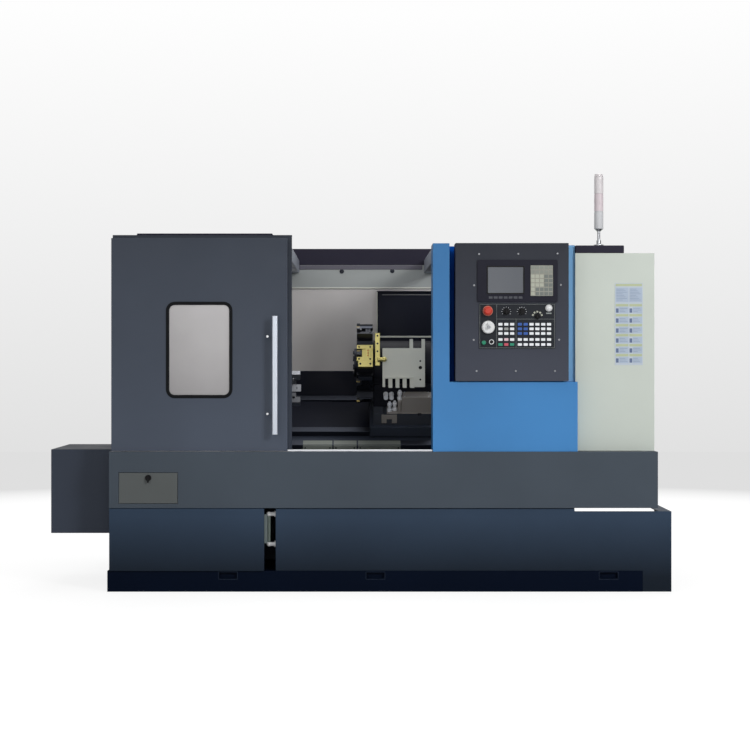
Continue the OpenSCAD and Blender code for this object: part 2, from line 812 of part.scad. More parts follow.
beam_z = [guard_top - 86, guard_top + 4];
rail_z = [guard_top - 128, guard_top - 58];
beam_depth = 60;
strip_depth = 12;

module back_wall() {
    x = [head_wall_x, control_x[1] - gap];
    strip = [beam_z[0] - 128, beam_z[0]];
    color([0.5, 0.5, 0.49]) {
        block(x, [wall_y, wall_y + sheet], [bed_top_z, beam_z[0]]);
        block(x, [wall_y - strip_depth, wall_y - strip_depth + 3], strip);
        block(x, [wall_y - strip_depth, wall_y], [strip[0], strip[0] + 3]);
        block(x, [wall_y - strip_depth, wall_y], [strip[1] - 3, strip[1]]);
    }
}

// Beam over the back wall, a rail at each side of the opening, the door's top guide
// and the box under the signal tower
module roof_frame() {
    rail = 60;
    rail_end = wall_y - strip_depth;
    tower_box = 237;
    color([0.17, 0.18, 0.21]) {
        block([head_wall_x, cabinet_x[0]], [wall_y, wall_y + beam_depth], beam_z);
        block([flange_x - rail, flange_x], [house_y + 30, rail_end], rail_z);
        block([control_x[0], control_x[0] + rail], [control_y[1], rail_end], rail_z);
        block([door_x[0] + 116, door_x[1] - 74], [house_y, house_y + rail], [guard_top, guard_top + 8]);
        block([cabinet_x[0], cabinet_x[0] + tower_box], [cabinet_y[0], cabinet_y[0] + rail],
            [cabinet_top, cabinet_top + 38]);
    }
}

module rear_housing() {
    x = [door_x[0], control_x[1] - gap];
    y = [wall_y + sheet, skirt_y[1]];
    top = beam_z[0] - 30;
    louvres = 9;
    color([0.21, 0.22, 0.26]) difference() {
        union() {
            block(x, [y[1] - sheet, y[1]], [skirt_top, top]);
            block(x, y, [top - sheet, top]);
            for (side = [x[0], x[1] - sheet]) block([side, side + sheet], y, [skirt_top, top]);
        }
        for (bank = [0.25, 0.75], i = [0:louvres - 1])
            translate([x[0] + bank * (x[1] - x[0]), y[1], skirt_top + 180 + 26 * i])
                block([-160, 160], [-sheet - cut, cut], [0, 9]);
    }
}

door_z = [skirt_top + seam, guard_top - 18];
door_sheet = 3;
shoe_z = [skirt_top + 10, skirt_top + 17];
window_x = [door_x[0] + 279, door_x[0] + 279 + window_width];
window_z = [skirt_top + 273, skirt_top + 273 + window_height];
gasket = 12;

// Rounded window outline, grown by a distance
module window(grow, y) {
    plate([window_x[0] - grow, window_x[1] + grow], y,
        [window_z[0] - grow, window_z[1] + grow], window_radius + grow);
}

module sliding_door() {
    color([0.23, 0.24, 0.28]) difference() {
        union() {
            sheet_box(door_x, door_y, [shoe_z[1], door_z[1]], door_sheet, "back");
            block(door_x, [door_y[0], door_y[0] + door_sheet], door_z);
        }
        window(gasket, [door_y[0] - cut, door_y[0] + door_sheet + cut]);
    }
}

module window_gasket() {
    color([0.03, 0.03, 0.03]) difference() {
        union() {
            window(gasket, [door_y[0] - 3, door_y[0] + 9]);
            window(gasket + 4, [door_y[0] - 3, door_y[0]]);
        }
        window(0, [door_y[0] - 3 - cut, door_y[0] + 9 + cut]);
    }
}

module window_glass() {
    color([0.45, 0.42, 0.4]) window(0, [door_y[0] + 1, door_y[0] + 7]);
}

handle_x = [door_x[1] - 72, door_x[1] - 44];
handle_z = [skirt_top + 85, skirt_top + 85 + handle_length];
post_inset = 97;

module door_handle() {
    y = [door_y[0] - 58, door_y[0] - 42];
    color([0.75, 0.76, 0.78]) {
        translate([0, 0, handle_z[0]]) linear_extrude(handle_length) polygon(rounded(handle_x, y, 6));
        for (z = [handle_z[0] + post_inset, handle_z[1] - post_inset])
            bar_y([(handle_x[0] + handle_x[1]) / 2, z], [y[1] - 2, door_y[0]], 11);
    }
}

track_y = [door_y[0] + 8, door_y[0] + 28];

module door_track() {
    color([0.8, 0.81, 0.82])
        block([door_x[0], control_x[0] - gap], track_y, [skirt_top, shoe_z[0]]);
}

module door_shoes() {
    color([0.85, 0.85, 0.8])
        for (x = [door_x[0] + 60, door_x[1] - 160])
            block([x, x + 100], track_y, shoe_z);
}

// Widths of the posts at the left and right of the pod, and depth of the right one
left_post = 80;
right_post = 46;
right_post_depth = 80;

module control_housing() {
    wall = sheet;
    post_x = [control_x[1] - right_post, control_x[1]];
    post_y = [control_y[1] - right_post_depth, control_y[1]];
    color([0.2, 0.44, 0.7]) difference() {
        union() {
            difference() {
                block(control_x, control_y, [skirt_top, ledge_z]);
                block([control_x[0] + wall, control_x[1] - wall],
                    [control_y[0] + wall, control_y[1] + cut], [skirt_top - cut, ledge_z - 2 * wall]);
            }
            difference() {
                block([control_x[0], control_x[0] + left_post], control_y,
                    [ledge_z - 2 * wall, control_top]);
                block([control_x[0] + wall, control_x[0] + left_post - wall],
                    [control_y[0] + wall, control_y[1] - wall], [ledge_z - 3 * wall, control_top - wall]);
            }
            block([control_x[0], control_x[1]], [control_y[1] - wall, control_y[1]],
                [ledge_z - wall, control_top - gap]);
            difference() {
                block(post_x, post_y, [ledge_z - 2 * wall, control_top - gap]);
                block([post_x[0] + wall, post_x[1] - wall], [post_y[0] + wall, post_y[1] - wall],
                    [ledge_z - 3 * wall, control_top - gap - wall]);
            }
            translate([pivot[0], pivot[1], ledge_z - 70]) cylinder(h = 70, r = pivot_r + 14);
        }
        translate([pivot[0], pivot[1], ledge_z - 70 - cut])
            cylinder(h = 70 + 2 * cut, r = pivot_r + running);
    }
}

face_sheet = 4;

module pod_case() {
    color([0.16, 0.17, 0.2]) {
        sheet_box(pod_x, [face_y + face_sheet, pod_y[1]], pod_z, 3, "front");
        translate([pivot[0], pivot[1], ledge_z]) cylinder(h = pod_z[0] - ledge_z, r = pivot_r + 8);
        translate([pivot[0], pivot[1], ledge_z - 62]) cylinder(h = 62, r = pivot_r);
    }
}

// Places on the operator panel, measured from its lower left corner
estop_at = [panel_x[0] + 42, panel_z[0] + 181];
handwheel_at = [panel_x[0] + 44, panel_z[0] + 103];
start_at = [panel_x[0] + 23, panel_z[0] + 29];
feed_at = [panel_x[0] + 131, panel_z[0] + 178];
speed_at = [panel_x[0] + 206, panel_z[0] + 178];
estop_stem = 12;
start_r = 10;
knob_stem = 5;
wheel_stem = 6;

// Holes through the operator panel and the pod face for the stems of the controls
module stem_holes() {
    y = [panel_face - 10, face_y + face_sheet + cut];
    bar_y(estop_at, y, estop_stem + running);
    bar_y(start_at, y, start_r + running);
    bar_y(handwheel_at, y, wheel_stem + running);
    for (at = [feed_at, speed_at]) bar_y(at, y, knob_stem + running);
}

module pod_face() {
    color([0.2, 0.21, 0.24]) difference() {
        plate(pod_x, [face_y, face_y + face_sheet], pod_z, 3);
        stem_holes();
    }
}

module operator_panel() {
    color([0.08, 0.09, 0.1]) difference() {
        union() {
            plate(panel_x, [panel_face, face_y], panel_z, 4);
            bar_y(estop_at, [panel_face - 6, panel_face], estop_radius + 6);
            bar_y(start_at, [panel_face - 2, panel_face], start_r + 3);
        }
        stem_holes();
    }
}

screen_x = [monitor_x[0] + 51, monitor_x[0] + 220];
screen_z = [monitor_z[0] + 43, monitor_z[1] - 35];
pad_x = [monitor_x[0] + 255, monitor_x[0] + 362];
pad_z = [monitor_z[0] + 29, monitor_z[1] - 27];
screen_sunk = 4;

module monitor() {
    color([0.1, 0.1, 0.13]) difference() {
        plate(monitor_x, [monitor_face, face_y], monitor_z, 6);
        plate(screen_x, [monitor_face - cut, monitor_face + screen_sunk], screen_z, 3);
    }
}

module screen() {
    color([0.4, 0.41, 0.44])
        plate(screen_x, [monitor_face + 1, monitor_face + screen_sunk], screen_z, 3);
}

module key_pad() {
    cols = 5;
    rows = 7;
    pitch = [(pad_x[1] - pad_x[0]) / cols, (pad_z[1] - pad_z[0]) / rows];
    y = [monitor_face - 4, monitor_face - 2];
    color([0.62, 0.63, 0.58]) {
        plate(pad_x, [y[1], monitor_face], pad_z, 2);
        for (i = [0:cols - 1], j = [0:rows - 1])
            translate([pad_x[0] + (i + 0.5) * pitch[0], 0, pad_z[0] + (j + 0.5) * pitch[1]])
                block([-pitch[0] * 0.4, pitch[0] * 0.4], y, [-pitch[1] * 0.38, pitch[1] * 0.38]);
    }
}

// Key columns from the panel's left edge, and key rows from its foot
key_columns = concat(
    [for (i = [0:2]) 103 + i * key_pitch[0]],
    [for (i = [0:5]) 196 + i * key_pitch[0]]
);
key_rows = [20, 44, 73, 95, 117];
function is_coloured(i, j) = (i >= 3 && i <= 4 && j >= 2) || (i <= 2 && j == 0);

module keys(coloured) {
    for (i = [0:len(key_columns) - 1], j = [0:len(key_rows) - 1])
        if (is_coloured(i, j) == coloured)
            translate([panel_x[0] + key_columns[i], 0, panel_z[0] + key_rows[j]])
                plate([-key_size[0] / 2, key_size[0] / 2], [panel_face - key_rise, panel_face],
                    [-key_size[1] / 2, key_size[1] / 2], 2);
}

module white_keys() {
    color([0.9, 0.9, 0.9]) keys(false);
}

module colour_keys() {
    color([0.25, 0.4, 0.7]) keys(true);
}

module estop_button() {
    color([0.8, 0.15, 0.1]) {
        bar_y(estop_at, [panel_face - 30, panel_face - 14], estop_radius);
        bar_y(estop_at, [panel_face - 36, panel_face - 30], estop_radius - 5);
        bar_y(estop_at, [panel_face - 14, face_y + 14], estop_stem);
    }
}

module start_button() {
    color([0.1, 0.5, 0.35]) bar_y(start_at, [panel_face - 9, face_y + 14], start_r);
}

module handwheel() {
    color([0.86, 0.87, 0.87]) {
        bar_y(handwheel_at, [panel_face - 22, panel_face - 3], handwheel_radius - 4);
        bar_y(handwheel_at, [panel_face - 10, panel_face - 3], handwheel_radius);
        bar_y(handwheel_at, [panel_face - 3, face_y + 12], wheel_stem);
        bar_y([handwheel_at[0], handwheel_at[1] + handwheel_radius - 13],
            [panel_face - 38, panel_face - 22], 5);
    }
}

// Rotary override knob with a grip bar
module knob(at) {
    bar_y(at, [panel_face - 8, panel_face - 1], 15);
    bar_y(at, [panel_face - 1, face_y + 12], knob_stem);
    translate([at[0], 0, at[1]]) block([-4, 4], [panel_face - 20, panel_face - 8], [-14, 14]);
}

module feed_knob() {
    color([0.05, 0.05, 0.06]) knob(feed_at);
}

module spindle_knob() {
    color([0.05, 0.05, 0.06]) knob(speed_at);
}

cabinet_z = [skirt_top, cabinet_top];
hinge_at = [cabinet_x[1] - sheet - 6, cabinet_y[1] - sheet];
hinge_r = 3;

module hinge_pins(r, reach) {
    translate([hinge_at[0], hinge_at[1], cabinet_z[0] + sheet - reach]) cylinder(h = reach + 4, r = r);
    translate([hinge_at[0], hinge_at[1], cabinet_z[1] - sheet - 4]) cylinder(h = reach + 4, r = r);
}

module electrical_cabinet() {
    shelf_y = cabinet_y[0] + 420;
    color([0.8, 0.82, 0.78]) difference() {
        union() {
            sheet_box(cabinet_x, cabinet_y, cabinet_z, sheet, "back");
            block([cabinet_x[0] + sheet - cut, cabinet_x[1] - sheet + cut],
                [shelf_y, shelf_y + sheet], [cabinet_z[0] + 60, cabinet_z[1] - 60]);
        }
        hinge_pins(hinge_r + running, sheet + cut);
    }
}

module cabinet_door() {
    x = [cabinet_x[0] + sheet + gap, cabinet_x[1] - sheet - gap];
    z = [cabinet_z[0] + sheet + gap, cabinet_z[1] - sheet - gap];
    color([0.8, 0.82, 0.78]) {
        block(x, [cabinet_y[1] - sheet, cabinet_y[1]], z);
        translate([hinge_at[0], hinge_at[1], z[0]]) cylinder(h = z[1] - z[0], r = hinge_r + 1);
        hinge_pins(hinge_r, sheet);
        bar_y([x[0] + 30, (z[0] + z[1]) / 2], [cabinet_y[1], cabinet_y[1] + 6], 14);
    }
}

tower_at = [cabinet_x[0] + 118, cabinet_y[0] + 30];
stand_z = cabinet_top + 38;
stand_height = 82;

module tower_stand() {
    color([0.7, 0.7, 0.71]) translate([tower_at[0], tower_at[1], stand_z]) {
        cylinder(h = 5, r = 24);
        cylinder(h = 26, r = 11);
        cylinder(h = stand_height, r = 7);
        translate([0, 0, stand_height - 12]) cylinder(h = 12, r1 = 9, r2 = lamp_radius);
    }
}

module tower_lamp() {
    segments = 3;
    cap = 10;
    step = (lamp_height - cap) / segments;
    color([0.88, 0.84, 0.84]) translate([tower_at[0], tower_at[1], stand_z + stand_height]) {
        cylinder(h = lamp_height, r = lamp_radius - 1.5);
        for (i = [0:segments - 1]) translate([0, 0, i * step]) cylinder(h = step - 4, r = lamp_radius);
        translate([0, 0, lamp_height - cap]) cylinder(h = cap, r1 = lamp_radius, r2 = lamp_radius - 5);
    }
}

base_frame();
base_panels();
coolant_tank();
level_gauge();
skirt_tray();
access_flap();
flap_latch();
motor_cover();
headstock_housing();
headstock();
spindle();
chuck_body();
jaw_1();
jaw_2();
jaw_3();
spindle_pulley();
drive_belt();
motor_pulley();
spindle_motor();
bed_casting();
guide_rails();
way_cover();
saddle();
cross_slide();
turret_housing();
turret_plate();
turret_disc();
tool_blocks();
cutting_tools();
carriage_cover();
tailstock_body();
quill();
live_centre();
back_wall();
roof_frame();
rear_housing();
sliding_door();
window_glass();
window_gasket();
door_handle();
door_track();
door_shoes();
control_housing();
pod_case();
pod_face();
monitor();
screen();
key_pad();
operator_panel();
white_keys();
colour_keys();
estop_button();
handwheel();
feed_knob();
spindle_knob();
start_button();
electrical_cabinet();
cabinet_door();
tower_stand();
tower_lamp();
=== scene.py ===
import json
import math

import bpy
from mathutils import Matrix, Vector

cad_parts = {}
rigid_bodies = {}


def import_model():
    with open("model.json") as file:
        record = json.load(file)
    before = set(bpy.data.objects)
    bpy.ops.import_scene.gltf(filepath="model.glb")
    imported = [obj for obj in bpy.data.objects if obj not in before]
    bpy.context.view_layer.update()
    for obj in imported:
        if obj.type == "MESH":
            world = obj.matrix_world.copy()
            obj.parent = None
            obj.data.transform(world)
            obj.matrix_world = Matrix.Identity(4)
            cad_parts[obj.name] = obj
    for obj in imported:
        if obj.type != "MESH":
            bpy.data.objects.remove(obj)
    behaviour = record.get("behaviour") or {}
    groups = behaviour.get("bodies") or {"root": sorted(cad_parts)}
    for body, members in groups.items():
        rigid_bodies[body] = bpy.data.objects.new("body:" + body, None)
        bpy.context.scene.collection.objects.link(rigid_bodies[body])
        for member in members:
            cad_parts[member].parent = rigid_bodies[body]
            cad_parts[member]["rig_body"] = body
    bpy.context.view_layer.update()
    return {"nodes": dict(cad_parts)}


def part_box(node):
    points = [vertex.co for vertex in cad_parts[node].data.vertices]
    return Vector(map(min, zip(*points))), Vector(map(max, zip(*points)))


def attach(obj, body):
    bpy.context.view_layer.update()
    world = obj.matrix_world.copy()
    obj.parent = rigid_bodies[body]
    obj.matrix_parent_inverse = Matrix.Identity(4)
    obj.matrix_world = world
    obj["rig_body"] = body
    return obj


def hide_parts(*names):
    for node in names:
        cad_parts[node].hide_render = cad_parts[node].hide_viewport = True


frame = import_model()
nodes = frame["nodes"]
machineBody = "machine"


# camera at the photo's place: level, straight at the front
photoCamera = {"place": (-0.151, -8.96, 1.104), "lens": 82, "shiftX": 0.0227, "shiftY": -0.0173, "reach": 120}

bpy.ops.object.select_all(action="DESELECT")
bpy.ops.object.camera_add(location=photoCamera["place"], rotation=(math.radians(90), 0, 0))
viewer = bpy.context.object
viewer.name = "viewer"
viewer.data.lens = photoCamera["lens"]
viewer.data.shift_x = photoCamera["shiftX"]
viewer.data.shift_y = photoCamera["shiftY"]
viewer.data.clip_end = photoCamera["reach"]
bpy.context.scene.camera = viewer
bpy.context.scene.view_settings.view_transform = "Standard"


# colours are written as they look on screen, 0 to 255
def shade(red, green, blue):
    def linear(part):
        part = part / 255
        return part / 12.92 if part <= 0.04045 else ((part + 0.055) / 1.055) ** 2.4
    return (linear(red), linear(green), linear(blue), 1.0)


def scaled(colour, factor):
    return tuple(min(1.0, part * factor) for part in colour[:3]) + (1.0,)


# shader building blocks, all read from Object coordinates
def bodyOf(finish):
    return finish.node_tree.nodes["Principled BSDF"]


def newFinish(name, colour, roughness, metallic=0.0, specular=0.5):
    finish = bpy.data.materials.new(name)
    finish.use_nodes = True
    finish.diffuse_color = colour
    for key, value in (("Base Color", colour), ("Roughness", roughness), ("Metallic", metallic),
                       ("Specular IOR Level", specular)):
        bodyOf(finish).inputs[key].default_value = value
    return finish


def addNode(finish, kind, **settings):
    made = finish.node_tree.nodes.new(kind)
    for key, value in settings.items():
        if hasattr(made, key):
            setattr(made, key, value)
        else:
            made.inputs[key].default_value = value
    return made


def wire(finish, fromNode, fromName, toNode, toName):
    finish.node_tree.links.new(fromNode.outputs[fromName], toNode.inputs[toName])


def noiseOn(finish, size, detail=2.0, stretch=(1, 1, 1)):
    where = addNode(finish, "ShaderNodeTexCoord")
    turn = addNode(finish, "ShaderNodeMapping", Scale=stretch)
    noise = addNode(finish, "ShaderNodeTexNoise", Scale=size, Detail=detail)
    wire(finish, where, "Object", turn, "Vector")
    wire(finish, turn, "Vector", noise, "Vector")
    return noise


def rampOn(finish, source, stops):
    ramp = addNode(finish, "ShaderNodeValToRGB")
    wire(finish, source, "Fac", ramp, "Fac")
    for element, (place, colour) in zip(ramp.color_ramp.elements, stops):
        element.position = place
        element.color = colour
    return ramp


def bumpOn(finish, source, strength, distance):
    bump = addNode(finish, "ShaderNodeBump", Strength=strength, Distance=distance)
    wire(finish, source, "Fac", bump, "Height")
    wire(finish, bump, "Normal", bodyOf(finish), "Normal")


def greyOf(value):
    return (value, value, value, 1.0)


# size and detail of the textures, and where between two values their ramps begin and end
texture = {"cloud": (2.3, 4.0), "drift": (9.0, 3.0), "plastic": (14.0, 3.0), "film": (3.0, 3.0),
           "toneAt": (0.3, 0.7), "dullAt": (0.3, 0.75)}


# colour and roughness that drift between two values
def toneOn(finish, source, colour, low, high):
    tones = [scaled(colour, low), scaled(colour, high)]
    tone = rampOn(finish, source, zip(texture["toneAt"], tones))
    wire(finish, tone, "Color", bodyOf(finish), "Base Color")


def dullOn(finish, source, low, high):
    dull = rampOn(finish, source, zip(texture["dullAt"], [greyOf(low), greyOf(high)]))
    wire(finish, dull, "Color", bodyOf(finish), "Roughness")


# powder coat: orange-peel bump, cloudy tone, roughness that drifts
def paintFinish(name, colour, roughness=0.42, cloud=0.07, peel=0.12, grain=260.0, specular=0.2,
                detail=1.0, depth=0.0006):
    finish = newFinish(name, colour, roughness, specular=specular)
    toneOn(finish, noiseOn(finish, *texture["cloud"]), colour, 1 - cloud, 1 + cloud)
    dullOn(finish, noiseOn(finish, *texture["drift"]), roughness - 0.05, roughness + 0.08)
    bumpOn(finish, noiseOn(finish, grain, detail), peel, depth)
    return finish


# painted shade by height: a share of the colour at the first height, all of it at the second
def paintedShadeByHeight(finish, low, high, share):
    body = bodyOf(finish)
    source = body.inputs["Base Color"].links[0].from_socket
    where = addNode(finish, "ShaderNodeTexCoord")
    split = addNode(finish, "ShaderNodeSeparateXYZ")
    lift = addNode(finish, "ShaderNodeMapRange", **{"From Min": low, "From Max": high, "To Min": share})
    dim = addNode(finish, "ShaderNodeVectorMath", operation="SCALE")
    wire(finish, where, "Object", split, "Vector")
    wire(finish, split, "Z", lift, "Value")
    wire(finish, lift, "Result", dim, "Scale")
    finish.node_tree.links.new(source, dim.inputs[0])
    wire(finish, dim, "Vector", body, "Base Color")
    return finish


# machined metal: fine lines along one direction
def machinedFinish(name, colour, roughness=0.3, along=(1, 40, 40), lines=30.0, mark=0.1):
    finish = newFinish(name, colour, roughness, metallic=1.0)
    streaks = noiseOn(finish, lines, 3.0, along)
    toneOn(finish, streaks, colour, 0.88, 1.1)
    dullOn(finish, streaks, roughness - 0.07, roughness + 0.1)
    bumpOn(finish, streaks, mark, 0.0003)
    return finish


# painted casting: coarse sand texture under the paint
def castFinish(name, colour, roughness=0.55):
    return paintFinish(name, colour, roughness, cloud=0.12, peel=0.25, grain=90.0, detail=4.0, depth=0.0012)


# moulded plastic and rubber: fine leather-like grain
def mouldedFinish(name, colour, roughness=0.4, grain=700.0, depth=0.1, cloud=0.04, specular=0.35):
    finish = newFinish(name, colour, roughness, specular=specular)
    toneOn(finish, noiseOn(finish, *texture["plastic"]), colour, 1 - cloud, 1 + cloud)
    bumpOn(finish, noiseOn(finish, grain, 2.0), depth, 0.0002)
    return finish


# finishes of the machine, one for each kind of surface
finishes = {
    "plinth": paintFinish("plinthPaint", shade(5, 14, 31), 0.5, specular=0.04),
    # the base paint carries painted shade, darker towards the floor
    "base": paintedShadeByHeight(paintFinish("basePaint", shade(50, 65, 84), 0.42, specular=0.1), 0.07, 0.36, 0.24),
    "skirt": paintFinish("skirtPaint", shade(66, 75, 85), 0.42),
    "flap": paintFinish("flapPaint", shade(88, 92, 92), 0.4),
    # guard and door paint carry painted shade, darker towards the top
    "guard": paintedShadeByHeight(paintFinish("guardPaint", shade(55, 62, 75), 0.42), 1.9, 0.8, 0.58),
    "door": paintedShadeByHeight(paintFinish("doorPaint", shade(72, 80, 94), 0.4), 1.9, 0.8, 0.5),
    "rail": paintFinish("railPaint", shade(42, 40, 54), 0.5, specular=0.1),
    # the housing's blue carries painted shade, darker towards the top
    "blue": paintedShadeByHeight(paintFinish("bluePaint", shade(66, 130, 189), 0.38, cloud=0.05), 1.9, 0.8, 0.7),
    # painted shade: a darker, deeper blue for the faces inside the pod's recess
    "blueRecessShade": paintFinish("recessPaintedShade", shade(5, 73, 162), 0.5, specular=0.03),
    # painted light: a paler blue for the post at the right of the recess
    "bluePostLit": paintFinish("postPaintedLight", shade(118, 171, 217), 0.4),
    "cream": paintFinish("creamPaint", shade(197, 204, 196), 0.45, cloud=0.03),
    # the pod's paint carries painted shade, darker towards the top
    "pod": paintedShadeByHeight(paintFinish("podPaint", shade(64, 68, 80), 0.5, peel=0.2, grain=420.0), 1.8, 1.0, 0.36),
    "cover": paintFinish("coverPaint", shade(22, 25, 38), 0.45, specular=0.1),
    "wall": paintFinish("wallPaint", shade(206, 202, 200), 0.4, cloud=0.06),
    "plate": paintFinish("platePaint", shade(220, 221, 210), 0.45, cloud=0.04),
    "motor": paintFinish("motorPaint", shade(28, 28, 32), 0.5),
    "casting": castFinish("castingPaint", shade(66, 70, 78)),
    "bed": castFinish("bedPaint", shade(58, 64, 76)),
    "turret": castFinish("turretPaint", shade(112, 112, 112)),
    "housing": castFinish("housingPaint", shade(30, 31, 38)),
    "boxGrey": castFinish("boxPaint", shade(150, 145, 140)),
    "strip": paintFinish("stripPaint", shade(160, 164, 163), 0.42, cloud=0.05),
    "lip": paintFinish("lipPaint", shade(96, 94, 104), 0.45),
    "wayPale": paintFinish("wayPaint", shade(130, 135, 128), 0.5, cloud=0.14),
    "steel": machinedFinish("groundSteel", shade(176, 178, 182), 0.3),
    "chuck": machinedFinish("turnedSteel", shade(158, 160, 166), 0.32, along=(60, 2, 2)),
    "jaw": machinedFinish("milledSteel", shade(156, 158, 164), 0.36, along=(4, 40, 40)),
    "tool": machinedFinish("toolSteel", shade(84, 86, 90), 0.35),
    "track": machinedFinish("trackSteel", shade(214, 216, 220), 0.35),
    "black": machinedFinish("blackenedSteel", shade(48, 50, 56), 0.42),
    "way": machinedFinish("waySteel", shade(70, 74, 84), 0.45),
    "gold": machinedFinish("insertGold", shade(158, 140, 88), 0.4, along=(20, 20, 20)),
    "copper": machinedFinish("copperScrew", shade(204, 112, 62), 0.35, along=(20, 20, 20)),
    # pale steel on the rails' inner faces, partly a painted highlight where light catches them
    "railPale": machinedFinish("railSteel", shade(166, 172, 184), 0.5, along=(30, 1, 30)),
    "zinc": machinedFinish("zincScrew", shade(206, 208, 210), 0.3, along=(8, 8, 8), lines=60.0),
    "brass": machinedFinish("toolBrass", shade(214, 202, 132), 0.45, along=(6, 30, 30)),
    "screwGrey": machinedFinish("screwGrey", shade(150, 152, 156), 0.35, along=(8, 8, 8), lines=60.0),
    "aluminium": machinedFinish("anodisedBar", shade(196, 202, 212), 0.4, along=(40, 40, 1)),
    "belt": mouldedFinish("beltRubber", shade(30, 30, 30), 0.8),
    "gasket": mouldedFinish("gasketRubber", shade(18, 19, 22), 0.7, specular=0.12),
    "monitor": mouldedFinish("monitorPlastic", shade(32, 32, 43), 0.5, specular=0.12),
    "pad": mouldedFinish("padPlastic", shade(150, 150, 140), 0.45),
    "panel": mouldedFinish("panelPlastic", shade(33, 36, 42), 0.45, specular=0.15),
    "knob": mouldedFinish("knobPlastic", shade(12, 12, 15), 0.35, specular=0.18),
    "white": mouldedFinish("whitePlastic", shade(226, 227, 228), 0.4),
    "stop": mouldedFinish("stopRed", shade(190, 56, 40), 0.35),
    "line": mouldedFinish("lineGrey", shade(128, 134, 134), 0.45),
    "start": mouldedFinish("startGreen", shade(30, 132, 100), 0.3),
    "lamp": mouldedFinish("lampPlastic", shade(212, 207, 209), 0.25, cloud=0.05),
    "lampMid": mouldedFinish("lampMid", shade(210, 198, 203), 0.25, cloud=0.05),
    "lampLow": mouldedFinish("lampLow", shade(194, 195, 198), 0.25, cloud=0.05),
    # the access rims are paler than the plinth as a painted highlight
    "accessRimHighlight": mouldedFinish("accessRimHighlight", shade(32, 42, 58), 0.5, specular=0.12),
    "tube": mouldedFinish("gaugeTube", shade(120, 132, 126), 0.25, cloud=0.08),
}

# plain plastics: colour, then roughness
plainPlastics = {
    "keyWhite": (232, 234, 238, 0.35), "keyBlue": (52, 92, 170, 0.35), "keyGreen": (40, 140, 110, 0.35),
    "keyRed": (200, 84, 100, 0.35), "keyPink": (226, 196, 204, 0.35), "keyGrey": (150, 152, 150, 0.35),
    "padKey": (136, 140, 132, 0.4), "padGrey": (112, 118, 114, 0.4), "padPale": (172, 174, 160, 0.4),
    # painted highlight: the salmon ring round the emergency stop's red cap
    "stopRimHighlight": (214, 122, 102, 0.3), "softKey": (70, 72, 80, 0.4), "chartBase": (186, 196, 206, 0.45),
    "chartPale": (168, 182, 200, 0.45), "chartGreen": (178, 187, 152, 0.45),
    "chartLine": (134, 148, 172, 0.45), "chartBlue": (92, 108, 142, 0.45),
    "gaugePlate": (92, 102, 102, 0.4),
}
for key, (red, green, blue, roughness) in plainPlastics.items():
    finishes[key] = mouldedFinish(key, shade(red, green, blue), roughness)


# glass of the door window and of the screen
def glassFinish(name, colour, roughness, clear):
    finish = newFinish(name, colour, roughness)
    body = bodyOf(finish)
    body.inputs["Transmission Weight"].default_value = clear
    body.inputs["IOR"].default_value = 1.46
    toneOn(finish, noiseOn(finish, *texture["film"]), colour, 0.94, 1.05)
    return finish


# the window glass carries a painted reflection, lighter at the top and darker below
finishes["window"] = paintedShadeByHeight(glassFinish("windowGlass", shade(214, 211, 212), 0.12, 0.3), 0.92, 1.4, 0.6)
finishes["screen"] = glassFinish("screenGlass", shade(84, 88, 95), 0.16, 0.0)

# the finish of each solid
nodeFinish = {
    "base_frame": "plinth", "base_panels": "base", "coolant_tank": "base", "level_gauge": "white",
    "skirt_tray": "skirt", "access_flap": "flap", "flap_latch": "knob", "motor_cover": "guard",
    "headstock_housing": "guard", "headstock": "casting", "spindle": "steel", "chuck_body": "chuck",
    "jaw_1": "jaw", "jaw_2": "jaw", "jaw_3": "jaw", "spindle_pulley": "casting",
    "drive_belt": "belt", "motor_pulley": "casting", "spindle_motor": "motor",
    "bed_casting": "bed", "guide_rails": "way", "way_cover": "cover", "saddle": "bed",
    "cross_slide": "casting", "turret_housing": "housing", "turret_plate": "plate",
    "turret_disc": "black", "tool_blocks": "brass", "cutting_tools": "tool",
    "carriage_cover": "cover", "tailstock_body": "turret", "quill": "steel", "live_centre": "steel",
    "back_wall": "wall", "roof_frame": "rail", "rear_housing": "guard", "sliding_door": "door",
    "window_glass": "window", "window_gasket": "gasket", "door_handle": "aluminium",
    "door_track": "track", "door_shoes": "white", "control_housing": "blue", "pod_case": "pod",
    "pod_face": "pod", "monitor": "monitor", "screen": "screen", "key_pad": "pad",
    "operator_panel": "panel", "white_keys": "keyWhite", "colour_keys": "keyBlue",
    "estop_button": "stop", "handwheel": "white", "feed_knob": "knob", "spindle_knob": "knob",
    "start_button": "start", "electrical_cabinet": "cream", "cabinet_door": "cream",
    "tower_stand": "steel", "tower_lamp": "lamp",
}


# one finish for a whole piece
def coat(piece, finishName):
    piece.data.materials.clear()
    piece.data.materials.append(finishes[finishName])


for nodeName, finishName in nodeFinish.items():
    coat(nodes[nodeName], finishName)
print("finishes: %d on %d solids" % (len(finishes), len(nodeFinish)))


# operators act on all that is picked, so every step starts with nothing picked
def clearPick():
    if bpy.context.object and bpy.context.object.mode != "OBJECT":
        bpy.ops.object.mode_set(mode="OBJECT")
    bpy.ops.object.select_all(action="DESELECT")


def pickOnly(piece):
    clearPick()
    piece.select_set(True)
    bpy.context.view_layer.objects.active = piece


def applyMoves():
    bpy.ops.object.transform_apply(location=True, rotation=True, scale=True)


def editAll():
    bpy.ops.object.mode_set(mode="EDIT")
    bpy.ops.mesh.select_all(action="SELECT")


